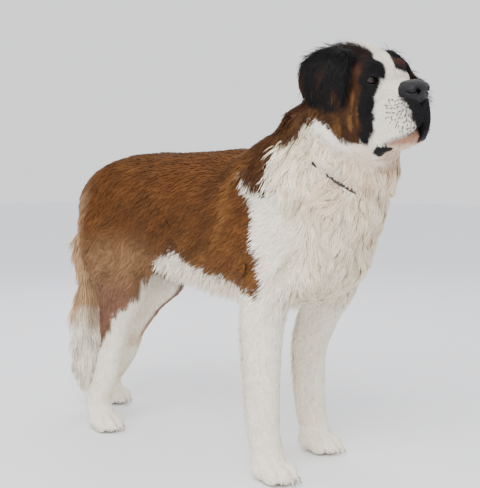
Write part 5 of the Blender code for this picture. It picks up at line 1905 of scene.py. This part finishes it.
@dataclass
class Features:
    """The nose, eyes, lids, claws and collar."""

    nodes: dict
    markings: Markings
    eye_at: Vector = Vector((-0.004, 0.057, -0.002))
    eye_radius: float = 0.0125
    eye_aim: float = math.radians(30)
    eye_white: Colour = (0.085, 0.055, 0.048)
    # The outer and inner end of each ring's edge, from the iris's rim to the pupil, and its colour
    eye_rings: tuple = ((0.0080, 0.0070, (0.008, 0.005, 0.004)), (0.0068, 0.0056, (0.020, 0.009, 0.005)),
                        (0.0034, 0.0030, (0.003, 0.003, 0.003)))
    lid_dark: Colour = (0.006, 0.005, 0.005)
    lid_red: Colour = (0.050, 0.016, 0.013)
    lid_thickness: float = 0.0011
    lid_tilt: float = 0.20
    nose_voxel: float = 0.0011
    nose_turn: float = 0.0030
    # Painted highlight: the nose's top is lighter, as if lit from above
    nose_top: Colour = (0.016, 0.0155, 0.018)
    # The painted shade deep in the nostrils
    nostril_tint: Colour = (0.002, 0.002, 0.002)
    nostril_slit: tuple = ((0.0165, -0.0335), (0.0205, -0.0390), (0.0260, -0.0405), (0.0330, -0.0390),
                           (0.0400, -0.0355))
    nostril_wing: tuple = ((0.020, -0.027), (0.030, -0.031))
    claw_length: float = 0.030
    claw_radius: float = 0.0052
    claw_tip: float = 0.0012
    # Each paw's middle and size; each toe's place in the paw, its distance to the left and its reach
    feet: tuple = ((0.2682, -0.130, 1.0), (0.2082, 0.130, 1.0),
                   (-0.3588, -0.116, 0.92), (-0.5818, 0.106, 0.92))
    toes: tuple = ((-1.5, 0.031, 0.040), (-0.5, 0.0115, 0.058), (0.5, -0.0115, 0.058), (1.5, -0.031, 0.040))

    def build(self, tools: Shaders) -> None:
        """Makes every feature.

        Args:
            tools: builds the materials.
        """
        self.nose(NOSE_LEATHER.material(tools))
        eye, lid = EYE_FINISH.material(tools), LID_FINISH.material(tools)
        for side, word in ((-1, "right"), (1, "left")):
            self.eyeball(side, word, eye)
            self.lids(side, word, lid)
        self.claws(HORN.material(tools))
        self.collar(COLLAR_LEATHER.material(tools))

    def nose(self, material: Material) -> None:
        """The nose leather: rounded, with comma nostrils and a middle groove.

        Args:
            material: the leather's finish.
        """
        nose = Surface(remeshed("nose_leather", [self.nodes["nose"]], self.nose_voxel, 45))
        nose.push(0.0024 - 0.0014 * ease(0.050, 0.042, head_local(nose.places)[:, 0]))
        f, l, u = head_local(nose.places).T
        turned = l + self.nose_turn
        rolled = np.stack([np.arctan2(np.abs(turned), f - 0.062) * 0.032, u], 1)
        slit = gaussian(distance_to(self.nostril_slit, rolled) / 0.0022)
        hole = gaussian(np.linalg.norm((rolled - self.nostril_slit[0]) * (1.0, 0.8), axis=1) / 0.0050)
        middle = gaussian(turned / 0.0011) * ease(0.078, 0.088, f) * ease(-0.030, -0.038, u)
        wing = gaussian(distance_to(self.nostril_wing, rolled) / 0.006)
        nose.push(0.0014 * wing - 0.0040 * slit - 0.0070 * hole - 0.0011 * middle)
        tint = repeated(self.markings.palette.leather, len(u))
        # Painted highlight: lighter leather on the nose's top
        tint = mixed(tint, self.nose_top, 0.7 * ease(-0.034, -0.020, u))
        # Painted shade: nearly black down in the nostrils
        tint = mixed(tint, self.nostril_tint, np.clip(np.maximum(slit * 1.1, hole * 1.3), 0, 1))
        store_colours(nose.obj.data, tint)
        smoothed_piece(nose.obj, material, "nose", "nose")

    def eye_place(self, side: int) -> Matrix:
        """One eye's own axes, forwards along where it looks."""
        at = Vector((self.eye_at.x, side * self.eye_at.y, self.eye_at.z))
        return HEAD_AXES @ Matrix.Translation(at) @ Matrix.Rotation(side * self.eye_aim, 4, "Z")

    def eyeball(self, side: int, word: str, material: Material) -> None:
        """A wet eyeball with a dark amber iris and a slightly raised cornea.

        Args:
            side: 1 for left, -1 for right.
            word: left or right.
            material: the eye's finish.
        """
        only_deselected()
        bpy.ops.mesh.primitive_uv_sphere_add(segments=64, ring_count=48, radius=self.eye_radius - 0.0001)
        ball = bpy.context.active_object
        ball.name = ball.data.name = "eyeball_" + word
        ball.matrix_world = self.eye_place(side) @ Matrix.Rotation(math.radians(90), 4, "Y")
        bpy.ops.object.transform_apply()
        surface = Surface(ball)
        back = np.array(self.eye_place(side).inverted())
        local = surface.places @ back[:3, :3].T + back[:3, 3]
        out = np.hypot(local[:, 1], local[:, 2])
        front = local[:, 0] > 0
        surface.push(0.0009 * ease(0.0072, 0.0040, out) * front)
        tint = repeated(self.eye_white, len(out))
        for outer, inner, colour in self.eye_rings:
            tint = mixed(tint, colour, ease(outer, inner, out) * front)
        store_colours(ball.data, tint)
        smoothed_piece(ball, material, "eye", "eye_" + word)

    def lids(self, side: int, word: str, material: Material) -> None:
        """Both lids in one ring round the eye's opening, the lower one hanging a little to show its red.

        Args:
            side: 1 for left, -1 for right.
            word: left or right.
            material: the lids' finish.
        """
        only_deselected()
        bpy.ops.mesh.primitive_grid_add(x_subdivisions=56, y_subdivisions=7, size=1)
        ring = bpy.context.active_object
        ring.name = ring.data.name = "lids_" + word
        radius = self.eye_radius + 0.0011
        place = self.eye_place(side) @ Matrix.Rotation(side * self.lid_tilt, 4, "X")
        rows = []
        for vert in ring.data.vertices:
            angle, share = (vert.co.x + 0.5) * 2 * math.pi, vert.co.y + 0.5
            up = math.sin(angle)
            reach = 0.0024 if up > 0 else 0.0044
            y = (0.0108 + 0.0022 * share) * math.cos(angle)
            z = (reach + (0.0085 if up > 0 else 0.0070) * share) * up * (1 - 0.25 * math.cos(angle) ** 2)
            x = math.sqrt(max(radius**2 - y * y - z * z, 0.0)) - 0.002 * share
            plump = 0.0011 * math.sin(math.pi * min(share * 1.6, 1.0))
            vert.co = place @ Vector((x + plump, -side * y, z))
            rim = ease(0.30, 0.0, share) * (up < -0.2)
            rows.append(np.array(self.lid_dark) + np.array(self.lid_red) * rim)
        store_colours(ring.data, np.array(rows))
        bpy.ops.object.mode_set(mode="EDIT")
        bpy.ops.mesh.select_all(action="SELECT")
        bpy.ops.mesh.remove_doubles(threshold=1e-6)
        bpy.ops.mesh.normals_make_consistent(inside=False)
        bpy.ops.object.mode_set(mode="OBJECT")
        modified(ring, "SOLIDIFY", thickness=self.lid_thickness, offset=-1.0)
        smoothed_piece(ring, material, "lip")

    def claws(self, material: Material) -> None:
        """Sixteen horn claws: one is modelled and copied onto every toe.

        Args:
            material: the horn's finish.
        """
        only_deselected()
        bpy.ops.mesh.primitive_cone_add(vertices=12, radius1=self.claw_radius, radius2=self.claw_tip,
                                        depth=self.claw_length, end_fill_type="NGON")
        claw = bpy.context.active_object
        bpy.ops.object.mode_set(mode="EDIT")
        bpy.ops.mesh.select_all(action="SELECT")
        bpy.ops.mesh.subdivide(number_cuts=3)
        bpy.ops.object.mode_set(mode="OBJECT")
        for vert in claw.data.vertices:
            along = vert.co.z + self.claw_length / 2
            low = 0.005 - vert.co.x * 1.1 - 14.0 * along * along
            vert.co = Vector((along - 0.016, vert.co.y * 0.86, low))
        copies = []
        for foot_x, foot_y, big in self.feet:
            for place, spread, reach in self.toes:
                at = Vector((foot_x + (reach + 0.034) * big, foot_y + (spread + 0.002 * place) * big, 0.0184))
                turn = Matrix.Rotation(-0.12 * place, 4, "Z")
                copy = bpy.data.objects.new("claw", claw.data.copy())
                bpy.context.scene.collection.objects.link(copy)
                copy.matrix_world = Matrix.Translation(at) @ turn @ Matrix.Scale(big, 4)
                copies.append(copy)
        bpy.data.objects.remove(claw, do_unlink=True)
        only_selected(*copies)
        bpy.ops.object.join()
        claws = bpy.context.view_layer.objects.active
        claws.name = claws.data.name = "claws"
        bpy.ops.object.transform_apply()
        for vert in claws.data.vertices:
            vert.co.z = max(vert.co.z, 0.0008)
        smoothed_piece(claws, material, "nose")

    def collar(self, material: Material) -> None:
        """A thin round leather collar on the solid's own path, smoothed.

        Args:
            material: the leather's finish.
        """
        collar = merged_copy(self.nodes["collar"], 0.0)
        collar.name = collar.data.name = "collar_cord"
        modified(collar, "SUBSURF", levels=2, render_levels=2)
        smoothed_piece(collar, material, "collar", "collar")


@dataclass
class Studio:
    """The floor, the lights and the camera at the photograph's view."""

    place: Vector = Vector((1.6234, -1.7175, 0.710))
    azimuth: float = math.radians(42)
    focal_pixels: float = 900.0
    picture_height: int = 488
    horizon_row: float = 178.0
    sensor: float = 36.0
    floor_colour: Colour = (0.91, 0.92, 0.94)
    surround_colour: Colour = (0.90, 0.905, 0.93)
    surround_strength: float = 1.42
    lit_middle: Vector = Vector((0.05, 0, 0.5))
    lamps: tuple = (("key_light", (1.4, -2.6, 3.0), 2.2, 150.0), ("rim_light", (-2.2, 1.8, 2.6), 2.0, 35.0))

    def build(self) -> None:
        """Makes the whole stage."""
        self.floor()
        self.lights()
        self.camera()

    def floor(self) -> None:
        """A wide pale flat floor."""
        bpy.ops.mesh.primitive_plane_add(size=40, location=(0, 0, 0))
        floor = bpy.context.active_object
        floor.name = "studio_floor"
        material = bpy.data.materials.new("pale_floor")
        material.use_nodes = True
        shader = material.node_tree.nodes["Principled BSDF"]
        shader.inputs["Base Color"].default_value = (*self.floor_colour, 1)
        shader.inputs["Roughness"].default_value = 0.9
        floor.data.materials.append(material)

    def lights(self) -> None:
        """A soft bright surround and two large area lights."""
        world = bpy.data.worlds.new("studio_surround")
        bpy.context.scene.world = world
        world.use_nodes = True
        back = world.node_tree.nodes["Background"]
        back.inputs["Color"].default_value = (*self.surround_colour, 1)
        back.inputs["Strength"].default_value = self.surround_strength
        for name, place, size, power in self.lamps:
            bpy.ops.object.light_add(type="AREA", location=place)
            light = bpy.context.active_object
            light.name = name
            light.data.size = size
            light.data.energy = power
            light.rotation_euler = (self.lit_middle - Vector(place)).to_track_quat("-Z", "Y").to_euler()

    def camera(self) -> None:
        """The camera, pitched so that the horizon falls on the photograph's own row."""
        ahead = Vector((-math.sin(self.azimuth), math.cos(self.azimuth), 0))
        pitch = math.atan((self.picture_height / 2 - self.horizon_row) / self.focal_pixels)
        aim = ahead * math.cos(pitch) - Vector((0, 0, 1)) * math.sin(pitch)
        bpy.ops.object.camera_add(location=self.place, rotation=aim.to_track_quat("-Z", "Y").to_euler())
        camera = bpy.context.active_object
        camera.name = "photo_camera"
        camera.data.sensor_width = self.sensor
        camera.data.lens = self.focal_pixels / self.picture_height * self.sensor
        bpy.context.scene.camera = camera


def main() -> None:
    """Builds every piece in order."""
    logging.basicConfig(level=logging.INFO, format="%(message)s")
    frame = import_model()
    Studio().build()
    shaders = Shaders()
    markings = Markings()
    skin = Skin(frame["nodes"], markings)
    skin.build(SKIN_FINISH.with_bare(shaders, 0.45))
    Features(frame["nodes"], markings).build(shaders)
    coat = COAT_FINISH.material(shaders)
    body_coat = BodyCoat(skin)
    body_coat.build(coat)
    HeadCoat(skin, body_coat).build(coat)


if __name__ == "__main__":
    main()
